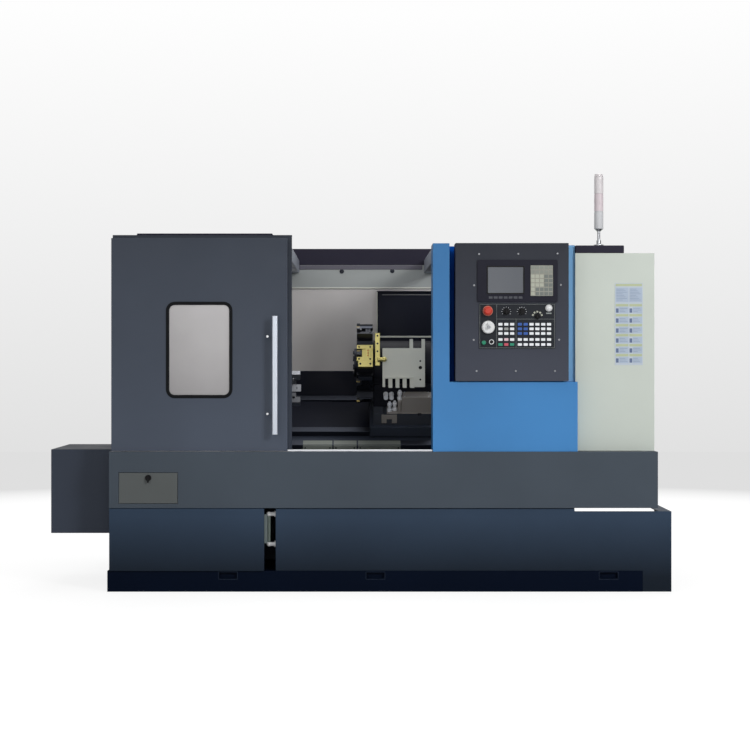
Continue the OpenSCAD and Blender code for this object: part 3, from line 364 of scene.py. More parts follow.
# smooth round the edges, flat on the flats
def smoothen(piece, angle=32):
    pickOnly(piece)
    bpy.ops.object.shade_smooth_by_angle(angle=math.radians(angle))
    weigh = piece.modifiers.new("weigh", "WEIGHTED_NORMAL")
    weigh.keep_sharp = True
    bpy.ops.object.modifier_apply(modifier=weigh.name)


# rounds the sharp edges of a piece
def easeEdges(piece, width, rounds=2, angle=35):
    pickOnly(piece)
    ease = piece.modifiers.new("ease", "BEVEL")
    ease.width = width
    ease.segments = rounds
    ease.limit_method = "ANGLE"
    ease.angle_limit = math.radians(angle)
    ease.use_clamp_overlap = True
    bpy.ops.object.modifier_apply(modifier=ease.name)


# names a piece, finishes it and sets it on its body
def settle(piece, name, finishName, body):
    pickOnly(piece)
    applyMoves()
    piece.name = name
    piece.data.name = name
    coat(piece, finishName)
    smoothen(piece)
    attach(piece, body)


# a block between two corners, with eased edges
def blockPiece(low, high, edge):
    clearPick()
    middle = [(a + b) / 2 for a, b in zip(low, high)]
    bpy.ops.mesh.primitive_cube_add(size=1, location=middle, scale=[b - a for a, b in zip(low, high)])
    piece = bpy.context.object
    applyMoves()
    editAll()
    bpy.ops.mesh.bevel(offset=edge, segments=2, affect="EDGES")
    bpy.ops.object.mode_set(mode="OBJECT")
    return piece


# points closer than this are one point, faces within this angle are one flat, in degrees
weld = {"turned": 0.00001, "solid": 0.00002, "flat": 0.6}


# a turned piece: a disc pulled up through pairs of radius and height, then laid along an axis
def turnedPiece(place, toward, outline, sides=32, edge=0.0):
    clearPick()
    bpy.ops.mesh.primitive_circle_add(vertices=sides, radius=outline[0][0], fill_type="NGON")
    piece = bpy.context.object
    editAll()
    lastRadius, lastHeight = outline[0]
    for radius, height in outline[1:]:
        bpy.ops.mesh.extrude_region_move(TRANSFORM_OT_translate={"value": (0, 0, height - lastHeight)})
        grow = radius / lastRadius
        bpy.ops.transform.resize(value=(grow, grow, 1))
        lastRadius, lastHeight = radius, height
    bpy.ops.mesh.select_all(action="SELECT")
    bpy.ops.mesh.remove_doubles(threshold=weld["turned"])
    bpy.ops.mesh.normals_make_consistent(inside=False)
    bpy.ops.object.mode_set(mode="OBJECT")
    piece.location = place
    piece.rotation_euler = Vector(toward).to_track_quat("Z", "Y").to_euler()
    applyMoves()
    if edge:
        easeEdges(piece, edge)
    return piece


# copies a model from the first place to the others, each copy with its own mesh, and joins them
def repeated(model, places):
    copies = [model]
    for place in places[1:]:
        pickOnly(model)
        bpy.ops.object.duplicate(linked=False)
        extra = bpy.context.object
        extra.location = [a - b for a, b in zip(place, places[0])]
        copies.append(extra)
    return joined(copies)


def joined(parts):
    clearPick()
    for part in parts:
        part.select_set(True)
    bpy.context.view_layer.objects.active = parts[0]
    applyMoves()
    if len(parts) > 1:
        bpy.ops.object.join()
    return bpy.context.object


# gives each face of a piece the finish that a rule names from the face's middle
def paintBy(piece, rule):
    piece.data.materials.clear()
    order = []
    for face in piece.data.polygons:
        name = rule(face.center)
        if name not in order:
            order.append(name)
            piece.data.materials.append(finishes[name])
        face.material_index = order.index(name)


def eased(nodeName, width, rounds=2, rule=None):
    clearPick()
    piece = bpy.data.objects.new(nodeName + "Eased", nodes[nodeName].data.copy())
    bpy.context.scene.collection.objects.link(piece)
    pickOnly(piece)
    editAll()
    bpy.ops.mesh.remove_doubles(threshold=weld["solid"])
    bpy.ops.mesh.dissolve_limited(angle_limit=math.radians(weld["flat"]))
    bpy.ops.object.mode_set(mode="OBJECT")
    easeEdges(piece, width, rounds)
    if rule:
        paintBy(piece, rule)
    smoothen(piece, 30)
    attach(piece, nodes[nodeName]["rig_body"])
    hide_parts(nodeName)


# edge rounding of the sheet metal, castings and controls, in metres
easing = {
    "sliding_door": 0.003, "headstock_housing": 0.003, "skirt_tray": 0.0035, "motor_cover": 0.004,
    "pod_case": 0.003, "pod_face": 0.0025, "electrical_cabinet": 0.0045,
    "cabinet_door": 0.002, "access_flap": 0.0015, "base_frame": 0.004, "base_panels": 0.003,
    "coolant_tank": 0.003, "rear_housing": 0.003, "operator_panel": 0.0012, "door_handle": 0.003,
    "turret_disc": 0.003, "turret_plate": 0.0015, "chuck_body": 0.002,
    "jaw_1": 0.0015, "jaw_2": 0.0015, "jaw_3": 0.0015, "turret_housing": 0.004,
    "saddle": 0.003, "tailstock_body": 0.004, "door_track": 0.0015, "door_shoes": 0.0015,
    "flap_latch": 0.0015, "start_button": 0.002, "tower_stand": 0.001, "bed_casting": 0.005,
    "headstock": 0.005, "spindle_motor": 0.003, "guide_rails": 0.002, "window_gasket": 0.0015,
    "cutting_tools": 0.0012,
}
for nodeName, width in easing.items():
    eased(nodeName, width)
print("eased: %d solids" % len(easing))

# only the block at the front station is bare brass, the others are blackened
turretAxis = (0.01517, 1.1)
brassStation = 75
halfStation = 17


def blockTone(middle):
    lean = math.degrees(math.atan2(turretAxis[0] - middle.y, middle.z - turretAxis[1]))
    return "brass" if abs(lean - brassStation) < halfStation else "black"


eased("tool_blocks", 0.0015, rule=blockTone)

# the beam is dark, the two side rails are pale steel inside, partly a painted highlight where light catches
# them
railTones = {"back": 0.352, "front": -0.66, "top": 1.67, "right": 0.3}


def roofTone(middle):
    inside = railTones["front"] < middle.y < railTones["back"] and middle.x < railTones["right"]
    return "railPale" if inside and middle.z < railTones["top"] else "rail"


eased("roof_frame", 0.004, rule=roofTone)

# back wall with a greener strip at its top; carriage cover with a bright seam
stripTone = {"from": 1.515, "front": 0.36}
seamTone = {"front": 0.3475, "below": 1.3}


def wallTone(middle):
    return "strip" if middle.z > stripTone["from"] and middle.y < stripTone["front"] else "wall"


def coverTone(middle):
    return "plate" if middle.y < seamTone["front"] and middle.z < seamTone["below"] else "cover"


eased("back_wall", 0.001, rule=wallTone)
eased("carriage_cover", 0.0012, rule=coverTone)

# cross slide: dark casting, paler box over the feed drive
driveBox = {"from": 0.0765, "foot": -0.1915, "axis": (-0.21, 0.97), "outward": (-0.5, 0.866)}


def slideTone(middle):
    out = ((middle.y - driveBox["axis"][0]) * driveBox["outward"][0]
           + (middle.z - driveBox["axis"][1]) * driveBox["outward"][1])
    return "boxGrey" if middle.x > driveBox["from"] and out > driveBox["foot"] else "casting"


eased("cross_slide", 0.003, rule=slideTone)

# level gauge: grey tube between white fittings; signal lamp: three segments
gaugeTube = (0.243, 0.352)
lampSteps = (1.84, 1.93)


def gaugeTone(middle):
    return "tube" if gaugeTube[0] < middle.z < gaugeTube[1] else "white"


def lampTone(middle):
    if middle.z < lampSteps[0]:
        return "lampLow"
    return "lampMid" if middle.z < lampSteps[1] else "lamp"


eased("level_gauge", 0.001, rule=gaugeTone)
eased("tower_lamp", 0.0015, rule=lampTone)

# control housing: painted shade inside the pod's recess, a darker deeper blue, and painted light on the post at
# its right, a paler blue
recess = {"front": -0.745, "back": -0.562, "left": 0.284, "right": 0.858, "above": 1.004,
          "below": 1.662}


def housingTone(middle):
    inDepth = recess["front"] < middle.y < recess["back"]
    inHeight = recess["above"] <= middle.z < recess["below"]
    if not inDepth or not inHeight or middle.x < recess["left"]:
        return "blue"
    return "bluePostLit" if middle.x > recess["right"] else "blueRecessShade"


eased("control_housing", 0.004, rule=housingTone)

# keys: rows of blue at the right group, green and red at the left group's foot
keyTones = {"split": 0.606, "redFrom": 0.547, "redTo": 0.573, "pinkRow": (1.2, 1.22),
            "greyRow": (1.255, 1.275)}


def colourKeyTone(middle):
    if middle.x > keyTones["split"]:
        return "keyBlue"
    return "keyRed" if keyTones["redFrom"] < middle.x < keyTones["redTo"] else "keyGreen"


def whiteKeyTone(middle):
    inMiddle = keyTones["redFrom"] < middle.x < keyTones["redTo"]
    if inMiddle and keyTones["pinkRow"][0] < middle.z < keyTones["pinkRow"][1]:
        return "keyPink"
    if inMiddle and keyTones["greyRow"][0] < middle.z < keyTones["greyRow"][1]:
        return "keyGrey"
    return "keyWhite"


eased("colour_keys", 0.0012, rule=colourKeyTone)
eased("white_keys", 0.0012, rule=whiteKeyTone)

# monitor key pad: pale letter keys, greyer cursor keys below and at the right
padTones = {"sunk": 0.0018, "foot": 0.3, "footFrom": 0.3, "right": 0.62, "rightTo": 0.68, "pale": (0.33, 0.7)}
padLow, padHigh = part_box("key_pad")


def padTone(middle):
    across = (middle.x - padLow.x) / (padHigh.x - padLow.x)
    up = (middle.z - padLow.z) / (padHigh.z - padLow.z)
    atFoot = up < padTones["foot"]
    if middle.y > padLow.y + padTones["sunk"]:
        return "pad"
    if atFoot and across > padTones["footFrom"] or across > padTones["right"] and up < padTones["rightTo"]:
        return "padGrey"
    inRows = padTones["pale"][0] < up < padTones["pale"][1] and across < padTones["right"]
    return "padPale" if inRows or atFoot else "padKey"


eased("key_pad", 0.0006, rule=padTone)
print("painted by rule: tool blocks, roof frame, wall, cover, slide, gauge, lamp, housing, keys, key pad")


front = (0, -1, 0)
upward = (0, 0, 1)
aboutX = (1, 0, 0)
aboutY = (0, 1, 0)


# turns copies of a model that stands at the origin about an axis, and puts them at a centre
def ringOf(model, centre, axis, angles):
    copies = []
    for angle in angles:
        pickOnly(model)
        bpy.ops.object.duplicate(linked=False)
        extra = bpy.context.object
        extra.rotation_euler = [math.radians(angle) * part for part in axis]
        extra.location = centre
        copies.append(extra)
    bpy.data.objects.remove(model)
    return joined(copies)


def blocksPiece(corners, edge):
    return joined([blockPiece(low, high, edge) for low, high in corners])


# screw with a socket in its head, in shares of its radius and height
screwHead = {"shoulder": 0.7, "top": 0.86, "socket": 0.45, "floor": 0.35}


def screwAt(place, toward, radius, height, sides=20):
    top, socket = radius * screwHead["top"], radius * screwHead["socket"]
    outline = [(radius, 0), (radius, height * screwHead["shoulder"]), (top, height), (socket, height),
               (socket, height * screwHead["floor"])]
    return turnedPiece(place, toward, outline, sides)


# a size is a radius, a height and, for small heads, the number of sides
def screwsAt(places, toward, size):
    return joined([screwAt(place, toward, *size) for place in places])


# the same block again and again, one pitch higher each time
def blockRows(low, high, pitch, count):
    return [((low[0], low[1], low[2] + i * pitch), (high[0], high[1], high[2] + i * pitch))
            for i in range(count)]


# control pod: button-head screws round its face
podScrews = {
    "face": -0.765, "size": (0.0048, 0.003),
    "at": [(0.430, 1.622), (0.618, 1.623), (0.806, 1.624), (0.406, 1.472), (0.822, 1.474),
           (0.404, 1.210), (0.814, 1.211), (0.418, 1.061), (0.606, 1.061), (0.794, 1.061)],
}
places = [(x, podScrews["face"], z) for x, z in podScrews["at"]]
settle(screwsAt(places, front, podScrews["size"]), "podScrews", "screwGrey", "pod")

# operator panel: printed border lines, scales round the knobs
panelLines = {
    "face": -0.769, "rise": 0.0006, "half": 0.0006,
    "runs": [(0.433, 1.172, 0.791, 1.172), (0.433, 1.381, 0.791, 1.381), (0.433, 1.172, 0.433, 1.381),
             (0.791, 1.172, 0.791, 1.381), (0.514, 1.172, 0.514, 1.381), (0.514, 1.310, 0.791, 1.310),
             (0.607, 1.172, 0.607, 1.310)],
}
half, face = panelLines["half"], panelLines["face"]
settle(blocksPiece([((x0 - half, face - panelLines["rise"], z0 - half), (x1 + half, face, z1 + half))
                    for x0, z0, x1, z1 in panelLines["runs"]], 0.0002),
       "panelLines", "line", "pod")

knobScale = {"centres": [(0.560, 1.346), (0.635, 1.346)], "inner": 0.019, "outer": 0.0235, "half": 0.0007,
             "rise": 0.0006, "angles": range(-120, 121, 30)}
scales = []
for x, z in knobScale["centres"]:
    tick = blockPiece((-knobScale["half"], -knobScale["rise"], knobScale["inner"]),
                      (knobScale["half"], 0, knobScale["outer"]), 0.0002)
    scales.append(ringOf(tick, (x, face, z), aboutY, knobScale["angles"]))
settle(joined(scales), "knobScales", "keyWhite", "pod")

modeKnob = {
    "at": (0.709, 1.3226), "grip": (0.0026, 0.0105), "gripFrom": 0.012, "gripTo": 0.02,
    "outline": [(0.013, 0), (0.013, 0.004), (0.0108, 0.007), (0.0104, 0.012), (0.0092, 0.0132)],
    "field": ((-0.0042, -0.0007, 0.0185), (0.0042, 0, 0.0265), 0.0003), "fieldsAt": (-72, -36, 0, 36, 72),
}
x, z = modeKnob["at"]
wide, tall = modeKnob["grip"]
settle(joined([turnedPiece((x, face, z), front, modeKnob["outline"], 28, 0.0006),
               blockPiece((x - wide, face - modeKnob["gripTo"], z - tall),
                          (x + wide, face - modeKnob["gripFrom"], z + tall), 0.0012)]),
       "modeKnob", "knob", "pod")
field = blockPiece(*modeKnob["field"])
settle(ringOf(field, (x, face, z), aboutY, modeKnob["fieldsAt"]),
       "modeScale", "padPale", "pod")

signalDome = {
    "at": (0.764, 1.3626), "plate": (0.013, 0.0012, -0.028, -0.0215),
    "outline": [(0.017, 0), (0.017, 0.004), (0.0158, 0.0085), (0.0128, 0.0135), (0.0085, 0.0168),
                (0.003, 0.0182)],
}
x, z = signalDome["at"]
settle(turnedPiece((x, face, z), front, signalDome["outline"], 36),
       "signalDome", "white", "pod")
wide, rise, foot, top = signalDome["plate"]
settle(blockPiece((x - wide, face - rise, z + foot), (x + wide, face, z + top), 0.0005),
       "domeLegend", "line", "pod")

keySwitch = {
    "at": (0.489, 1.2004), "bar": (0.0012, 0.0055), "barFrom": 0.0045, "barTo": 0.0085,
    "collar": [(0.0125, 0), (0.0125, 0.004), (0.0112, 0.0055), (0.0088, 0.0055), (0.0088, 0.0025)],
    "core": [(0.0086, 0), (0.0086, 0.0042), (0.0074, 0.005)],
}
x, z = keySwitch["at"]
wide, tall = keySwitch["bar"]
settle(turnedPiece((x, face, z), front, keySwitch["collar"], 32),
       "switchCollar", "zinc", "pod")
settle(joined([turnedPiece((x, face, z), front, keySwitch["core"], 28),
               blockPiece((x - wide, face - keySwitch["barTo"], z - tall),
                          (x + wide, face - keySwitch["barFrom"], z + tall), 0.0005)]),
       "switchCore", "knob", "pod")

# emergency stop: red head in a paler collar, a painted highlight of the cap's edge; handwheel: hub, ticks and
# ridges round its rim
stopHighlightRing = {
    "at": (0.471, 1.349),
    "outline": [(0.0248, 0), (0.0248, 0.005), (0.0236, 0.0072), (0.0212, 0.0072), (0.0208, 0.004)],
}
eased("estop_button", 0.003, rounds=3)
x, z = stopHighlightRing["at"]
settle(turnedPiece((x, face, z), front, stopHighlightRing["outline"], 40),
       "stopHighlightRing", "stopRimHighlight", "pod")
eased("feed_knob", 0.0015)
eased("spindle_knob", 0.0015)
wheelDial = {
    "at": (0.473, 1.271), "flange": -0.779, "sunk": 0.0005,
    "hub": [(0.0082, 0), (0.0082, 0.0018), (0.0068, 0.003), (0.003, 0.003)],
    "tick": ((-0.0006, -0.0005, 0.0275), (0.0006, 0, 0.0305), 0.0002), "ticksAt": range(0, 360, 15),
    "ridge": ((-0.0016, -0.011, 0.0262), (0.0016, 0, 0.0283), 0.0007), "ridgesAt": range(0, 360, 18),
}
eased("handwheel", 0.002, rounds=3)
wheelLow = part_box("handwheel")[0]
x, z = wheelDial["at"]
flange, sunk = wheelDial["flange"], wheelDial["sunk"]
settle(turnedPiece((x, wheelLow.y + sunk, z), front, wheelDial["hub"], 28),
       "wheelHub", "screwGrey", "handwheel")
tick = blockPiece(*wheelDial["tick"])
settle(ringOf(tick, (x, flange, z), aboutY, wheelDial["ticksAt"]),
       "wheelTicks", "knob", "handwheel")
ridge = blockPiece(*wheelDial["ridge"])
settle(ringOf(ridge, (x, flange - sunk, z), aboutY, wheelDial["ridgesAt"]),
       "wheelRidges", "white", "handwheel")

# monitor: soft keys under the screen, a thin frame round it
monitorTrim = {
    "face": -0.773, "keys": 7, "from": 0.485, "step": 0.0238, "half": 0.009, "rise": 0.0025,
    "low": 1.4075, "high": 1.4185, "rim": 0.006, "frame": (-0.0012, 0.001),
}
middles = [monitorTrim["from"] + i * monitorTrim["step"] for i in range(monitorTrim["keys"])]
half, rim, plane = monitorTrim["half"], monitorTrim["rim"], monitorTrim["face"]
settle(blocksPiece([((x - half, plane - monitorTrim["rise"], monitorTrim["low"]),
                     (x + half, plane, monitorTrim["high"])) for x in middles], 0.0008),
       "softKeys", "softKey", "pod")
eased("monitor", 0.003)
screenLow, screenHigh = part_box("screen")
frameLow, frameHigh = [plane + part for part in monitorTrim["frame"]]
settle(blocksPiece([
    ((screenLow.x - rim, frameLow, screenLow.z - rim), (screenHigh.x + rim, frameHigh, screenLow.z)),
    ((screenLow.x - rim, frameLow, screenHigh.z), (screenHigh.x + rim, frameHigh, screenHigh.z + rim)),
    ((screenLow.x - rim, frameLow, screenLow.z), (screenLow.x, frameHigh, screenHigh.z)),
    ((screenHigh.x, frameLow, screenLow.z), (screenHigh.x + rim, frameHigh, screenHigh.z))], 0.0006),
    "screenFrame", "knob", "pod")
print("pod: screws, lines, scales, mode knob, dome, key switch, soft keys")


# places on the slanted bed: along it, up the slope and out from it
slope = {"origin": (0, -0.21, 0.97), "angle": 30}


def onSlope(piece):
    pickOnly(piece)
    piece.rotation_euler = (math.radians(slope["angle"]), 0, 0)
    piece.location = slope["origin"]
    applyMoves()
    return piece


# turret: stations every 45 degrees, models stand at the origin with the radius along Z
turret = {
    "centre": (0, turretAxis[0], turretAxis[1]), "stations": range(30, 390, 45), "face": 0.1983,
    "insert": ((-0.158, 0.0043, 0.197), (-0.141, 0.009, 0.2118), 0.001),
    "clamp": ((-0.150, 0.011, 0.1981), (-0.077, 0.031, 0.2016), 0.0012),
    "hubScrew": (-0.171, 0, 0.058), "hubSize": (0.007, 0.006),
    "blockScrews": ((-0.145, -0.088), (-0.032, 0.032)), "blockSize": (0.0046, 0.005, 18), "blockSunk": 0.006,
}
plainStations = [lean for lean in turret["stations"] if lean != brassStation]


def atStations(model, leans):
    return ringOf(model, turret["centre"], aboutX, leans)


settle(atStations(blockPiece(*turret["insert"]), turret["stations"]),
       "toolInserts", "gold", "turret")
settle(atStations(blockPiece(*turret["clamp"]), plainStations),
       "stationClamps", "way", "turret")
hubScrew = screwAt(turret["hubScrew"], (-1, 0, 0), *turret["hubSize"])
settle(atStations(hubScrew, turret["stations"]), "hubScrews", "black", "turret")
places = [(along, across, turret["face"] - turret["blockSunk"])
          for along in turret["blockScrews"][0] for across in turret["blockScrews"][1]]
settle(atStations(screwsAt(places, upward, turret["blockSize"]), turret["stations"]),
       "blockScrews", "black", "turret")

# brass jaw under the front station's block, with its screws and three set screws in the web
brassJaw = {
    "block": ((-0.150, -0.074, 0.1663), (-0.0745, -0.0415, 0.1985), 0.002),
    "screws": [(-0.139, -0.0585, 0.1985), (-0.0875, -0.0585, 0.1985)], "size": (0.0055, 0.003),
    "setScrews": [(-0.1, across, turret["face"] - 0.008) for across in (-0.014, 0, 0.014)],
    "setSize": (0.0036, 0.0075, 16),
}
settle(atStations(blockPiece(*brassJaw["block"]), [brassStation]), "brassJaw", "brass", "turret")
settle(atStations(screwsAt(brassJaw["screws"], upward, brassJaw["size"]), [brassStation]),
       "brassJawScrews", "black", "turret")
settle(atStations(screwsAt(brassJaw["setScrews"], upward, brassJaw["setSize"]), [brassStation]),
       "setScrews", "copper", "turret")

# brass measuring arm on the housing's barrel, with its coupling in front of the plate
measureArm = {
    "arm": ((-0.063, -0.119, 1.085), (-0.037, -0.0985, 1.254), 0.0025), "coupling": (-0.05, -0.1232, 1.118),
    "outline": [(0.0125, 0), (0.0145, 0.002), (0.0145, 0.012), (0.0105, 0.0135), (0.0105, 0.028),
                (0.013, 0.029), (0.013, 0.041), (0.0085, 0.043), (0.0085, 0.047)],
    "screws": [(-0.05, -0.119, z) for z in (1.16, 1.2, 1.24)], "size": (0.0048, 0.003, 18),
}
armParts = [blockPiece(*measureArm["arm"]),
            turnedPiece(measureArm["coupling"], aboutX, measureArm["outline"], 24, 0.0006)]
settle(joined(armParts), "measureArm", "brass", "cross_slide")
settle(screwsAt(measureArm["screws"], front, measureArm["size"]),
       "armScrews", "black", "cross_slide")

# hydraulic fittings on the cross slide, bolted flange on its drive box
fitting = {
    "upright": [(0.014, 0.088, -0.19), (0.041, 0.098, -0.19), (0.066, 0.09, -0.121)],
    "lying": [(-0.006, 0.1305, -0.112), (0.024, 0.1305, -0.112)],
    "outline": [(0.013, 0), (0.013, 0.011), (0.0092, 0.0122), (0.0092, 0.03), (0.0118, 0.031),
                (0.0118, 0.044), (0.0072, 0.046), (0.0072, 0.054), (0.005, 0.055)],
    "block": ((0.056, 0.068, -0.192), (0.0765, 0.125, -0.12), 0.005),
}
stems = [turnedPiece(place, upward, fitting["outline"], 20) for place in fitting["upright"]]
stems += [turnedPiece(place, front, fitting["outline"][:6], 20) for place in fitting["lying"]]
# painted light: the fittings take a white finish so that they read bright in the shade of the work area
settle(onSlope(joined(stems)), "slideFittings", "keyWhite", "cross_slide")
settle(onSlope(blockPiece(*fitting["block"])), "fittingBlock", "boxGrey", "cross_slide")
driveLid = {
    "lid": ((0.083, 0.0665, -0.0985), (0.224, 0.1235, -0.095), 0.001), "size": (0.0045, 0.0032, 18),
    "screws": [(x, up, -0.0952) for up in (0.074, 0.116) for x in (0.091, 0.216)],
}
settle(onSlope(blockPiece(*driveLid["lid"])), "driveLid", "boxGrey", "cross_slide")
settle(onSlope(screwsAt(driveLid["screws"], upward, driveLid["size"])),
       "driveLidScrews", "zinc", "cross_slide")

# stop bracket on the slide's lower end
slideStop = [((-0.028, 0.0545, -0.222), (0.052, 0.0602, -0.196)),
             ((-0.028, 0.0545, -0.246), (-0.002, 0.0602, -0.22)),
             ((0.026, 0.0545, -0.246), (0.052, 0.0602, -0.22))]
settle(onSlope(blocksPiece(slideStop, 0.0015)), "slideStop", "boxGrey", "cross_slide")

# wiper plates along the lower way, let into its top, each with its screws
wayPlates = {
    "runs": [(-0.436, -0.284), (-0.277, -0.158), (-0.151, 0.07)],
    "plate": ((-0.0748, -0.329), (-0.0698, -0.302)), "inlay": ((-0.068, -0.304), (-0.028, -0.29992)),
    "screws": (-0.0748, -0.3155), "screwInset": 0.012, "size": (0.0042, 0.0024, 16),
}


def alongRuns(low, high, edge):
    return onSlope(blocksPiece([((x0, *low), (x1, *high)) for x0, x1 in wayPlates["runs"]], edge))


settle(alongRuns(*wayPlates["plate"], 0.0015), "wayPlates", "wayPale", machineBody)
inset = wayPlates["screwInset"]
places = [(x, *wayPlates["screws"]) for x0, x1 in wayPlates["runs"] for x in (x0 + inset, x1 - inset)]
settle(onSlope(screwsAt(places, front, wayPlates["size"])),
       "wayPlateScrews", "black", machineBody)
settle(alongRuns(*wayPlates["inlay"], 0.0006), "wayInlays", "wayPale", machineBody)
print("turret, cross slide and way fittings")


# chuck: face screws between the jaws, clamping screws in each jaw
chuck = {"face": -0.505, "centre": (0, -0.21, 0.97), "ring": 0.078, "size": (0.0062, 0.004),
         "between": (78, 102, 198, 222, 318, 342)}
faceScrew = screwAt((chuck["face"], 0, chuck["ring"]), aboutX, *chuck["size"])
settle(ringOf(faceScrew, chuck["centre"], aboutX, chuck["between"]),
       "chuckScrews", "black", "spindle")
jawScrew = {"steps": [(0.06, 0.076), (0.038, 0.048)], "size": (0.0058, 0.0035),
            "jaws": {"jaw_1": 30, "jaw_2": 150, "jaw_3": 270}}
places = [(chuck["face"] + out, 0, radius) for out, radius in jawScrew["steps"]]
for jawName, lean in jawScrew["jaws"].items():
    heads = screwsAt(places, aboutX, jawScrew["size"])
    settle(ringOf(heads, chuck["centre"], aboutX, [lean]), jawName + "Screws", "black", jawName)

# back wall: bolts, a lip under the beam, an edge under the strip; carriage cover: a painted highlight line
# along the top of its frame
wallBolts = {"at": [(-0.239, 0.354, 1.598), (0.036, 0.354, 1.6)],
             "outline": [(0.012, 0), (0.012, 0.003), (0.0075, 0.003), (0.0075, 0.0095), (0.0062, 0.011)]}
settle(repeated(turnedPiece(wallBolts["at"][0], front, wallBolts["outline"], 20), wallBolts["at"]),
       "wallBolts", "black", machineBody)
trim = {
    "lip": ((-0.6, 0.3505, 1.608), (0.2, 0.3545, 1.631), 0.001),
    "strip": ((-0.6, 0.3515, 1.505), (0.28, 0.3545, 1.5105), 0.0008),
    "cover": ((-0.02, 0.3478, 1.468), (0.26, 0.3502, 1.473), 0.0006),
}
settle(blockPiece(*trim["lip"]), "wallLip", "lip", machineBody)
settle(blockPiece(*trim["strip"]), "stripEdge", "plate", machineBody)
# painted highlight: a thin pale line along the top of the cover's frame
settle(blockPiece(*trim["cover"]), "coverHighlightLine", "turret", "carriage")
print("chuck, wall and cover trim")


# cabinet: chart plate on its front, in plain fields of colour
chart = {
    "low": (1.097, 1.089), "high": (1.233, 1.488), "front": -0.66, "thick": 0.0015, "margin": 0.004,
    "gutter": 0.002, "rows": 6, "pitch": 0.0485, "rowsFrom": 1.386, "strip": 0.012,
    "head": (1.472, 1.484), "headFields": (1.395, 1.466), "inks": (0.0021, 0.0013), "edge": 0.0002,
    "rowGap": 0.003, "stripGap": 0.002, "indent": 0.016, "mark": (0.001, 0.003, 0.014, 0.024),
    "linePitch": 0.0075, "lineIndent": 0.003, "lineZ": (-0.0016, 0.0004), "lineInks": (-0.0005, 0.0003),
    "lineReach": (0.55, 0.35),
}
(x0, z0), (x1, z1) = chart["low"], chart["high"]
middleX = (x0 + x1) / 2
settle(blockPiece((x0, chart["front"] - chart["thick"], z0), (x1, chart["front"], z1), 0.0005),
       "chartPlate", "chartBase", machineBody)
columns = [(x0 + chart["margin"], middleX - chart["gutter"]), (middleX + chart["gutter"], x1 - chart["margin"])]
near, far = [chart["front"] - ink for ink in chart["inks"]]
low, high = chart["head"]
strips = [((columns[0][0], near, low), (columns[1][1], far, high))]
low, high = chart["headFields"]
fields = [((a, near, low), (b, far, high)) for a, b in columns]
marks = []
x0, z0, x1, z1 = chart["mark"]
for row in range(chart["rows"]):
    top = chart["rowsFrom"] - row * chart["pitch"]
    foot = top - chart["pitch"] + chart["rowGap"]
    under = top - chart["strip"]
    for a, b in columns:
        strips.append(((a, near, under), (b, far, top)))
        fields.append(((a + chart["indent"], near, foot), (b, far, under - chart["stripGap"])))
        marks.append(((a + x0, near, foot + z0), (a + x1, far, foot + z1)))
settle(blocksPiece(strips, chart["edge"]), "chartStrips", "chartGreen", machineBody)
settle(blocksPiece(fields, chart["edge"]), "chartFields", "chartPale", machineBody)
settle(blocksPiece(marks, chart["edge"]), "chartMarks", "chartBlue", machineBody)
lines = []
y0, y1 = [near + ink for ink in chart["lineInks"]]
z0, z1 = chart["lineZ"]
shortest, extra = chart["lineReach"]
for count, ((a, _, low), (b, _, high)) in enumerate(fields):
    for step in range(1, int((high - low) / chart["linePitch"])):
        reach = (b - a) * (shortest + extra * ((count * 3 + step * 5) % 4) / 3)
        level = high - step * chart["linePitch"]
        lines.append(((a + chart["lineIndent"], y0, level + z0), (a + reach, y1, level + z1)))
settle(blocksPiece(lines, chart["edge"]), "chartLines", "chartLine", machineBody)

# cabinet: louvres on its side; lever, louvres and hinge knuckles on its rear door
louvres = {
    "side": ((1.2885, -0.12, 0.86), (1.295, 0.28, 0.87)), "rear": ((1.0, 0.7395, 0.84), (1.2, 0.745, 0.85)),
    "pitch": 0.026, "sideCount": 12, "rearCount": 9,
}
settle(blocksPiece(blockRows(*louvres["side"], louvres["pitch"], louvres["sideCount"]), 0.0028),
       "sideLouvres", "cream", machineBody)
lever = {"grip": ((0.933, 0.744, 1.091), (0.949, 0.7525, 1.169), 0.003), "boss": (0.941, 0.7395, 1.153),
         "outline": [(0.019, 0), (0.019, 0.003), (0.016, 0.0055)]}
settle(joined([blockPiece(*lever["grip"]), turnedPiece(lever["boss"], aboutY, lever["outline"], 28)]),
       "rearLever", "knob", "cabinet_door")
settle(blocksPiece(blockRows(*louvres["rear"], louvres["pitch"], louvres["rearCount"]), 0.0022),
       "rearLouvres", "cream", "cabinet_door")
knuckle = {"at": [(1.279, 0.736, z) for z in (0.8, 1.12, 1.44)],
           "outline": [(0.0052, 0), (0.0058, 0.001), (0.0058, 0.058), (0.0052, 0.059)]}
settle(repeated(turnedPiece(knuckle["at"][0], upward, knuckle["outline"], 20), knuckle["at"]),
       "rearKnuckles", "zinc", "cabinet_door")
print("cabinet: chart, louvres, lever, knuckles")

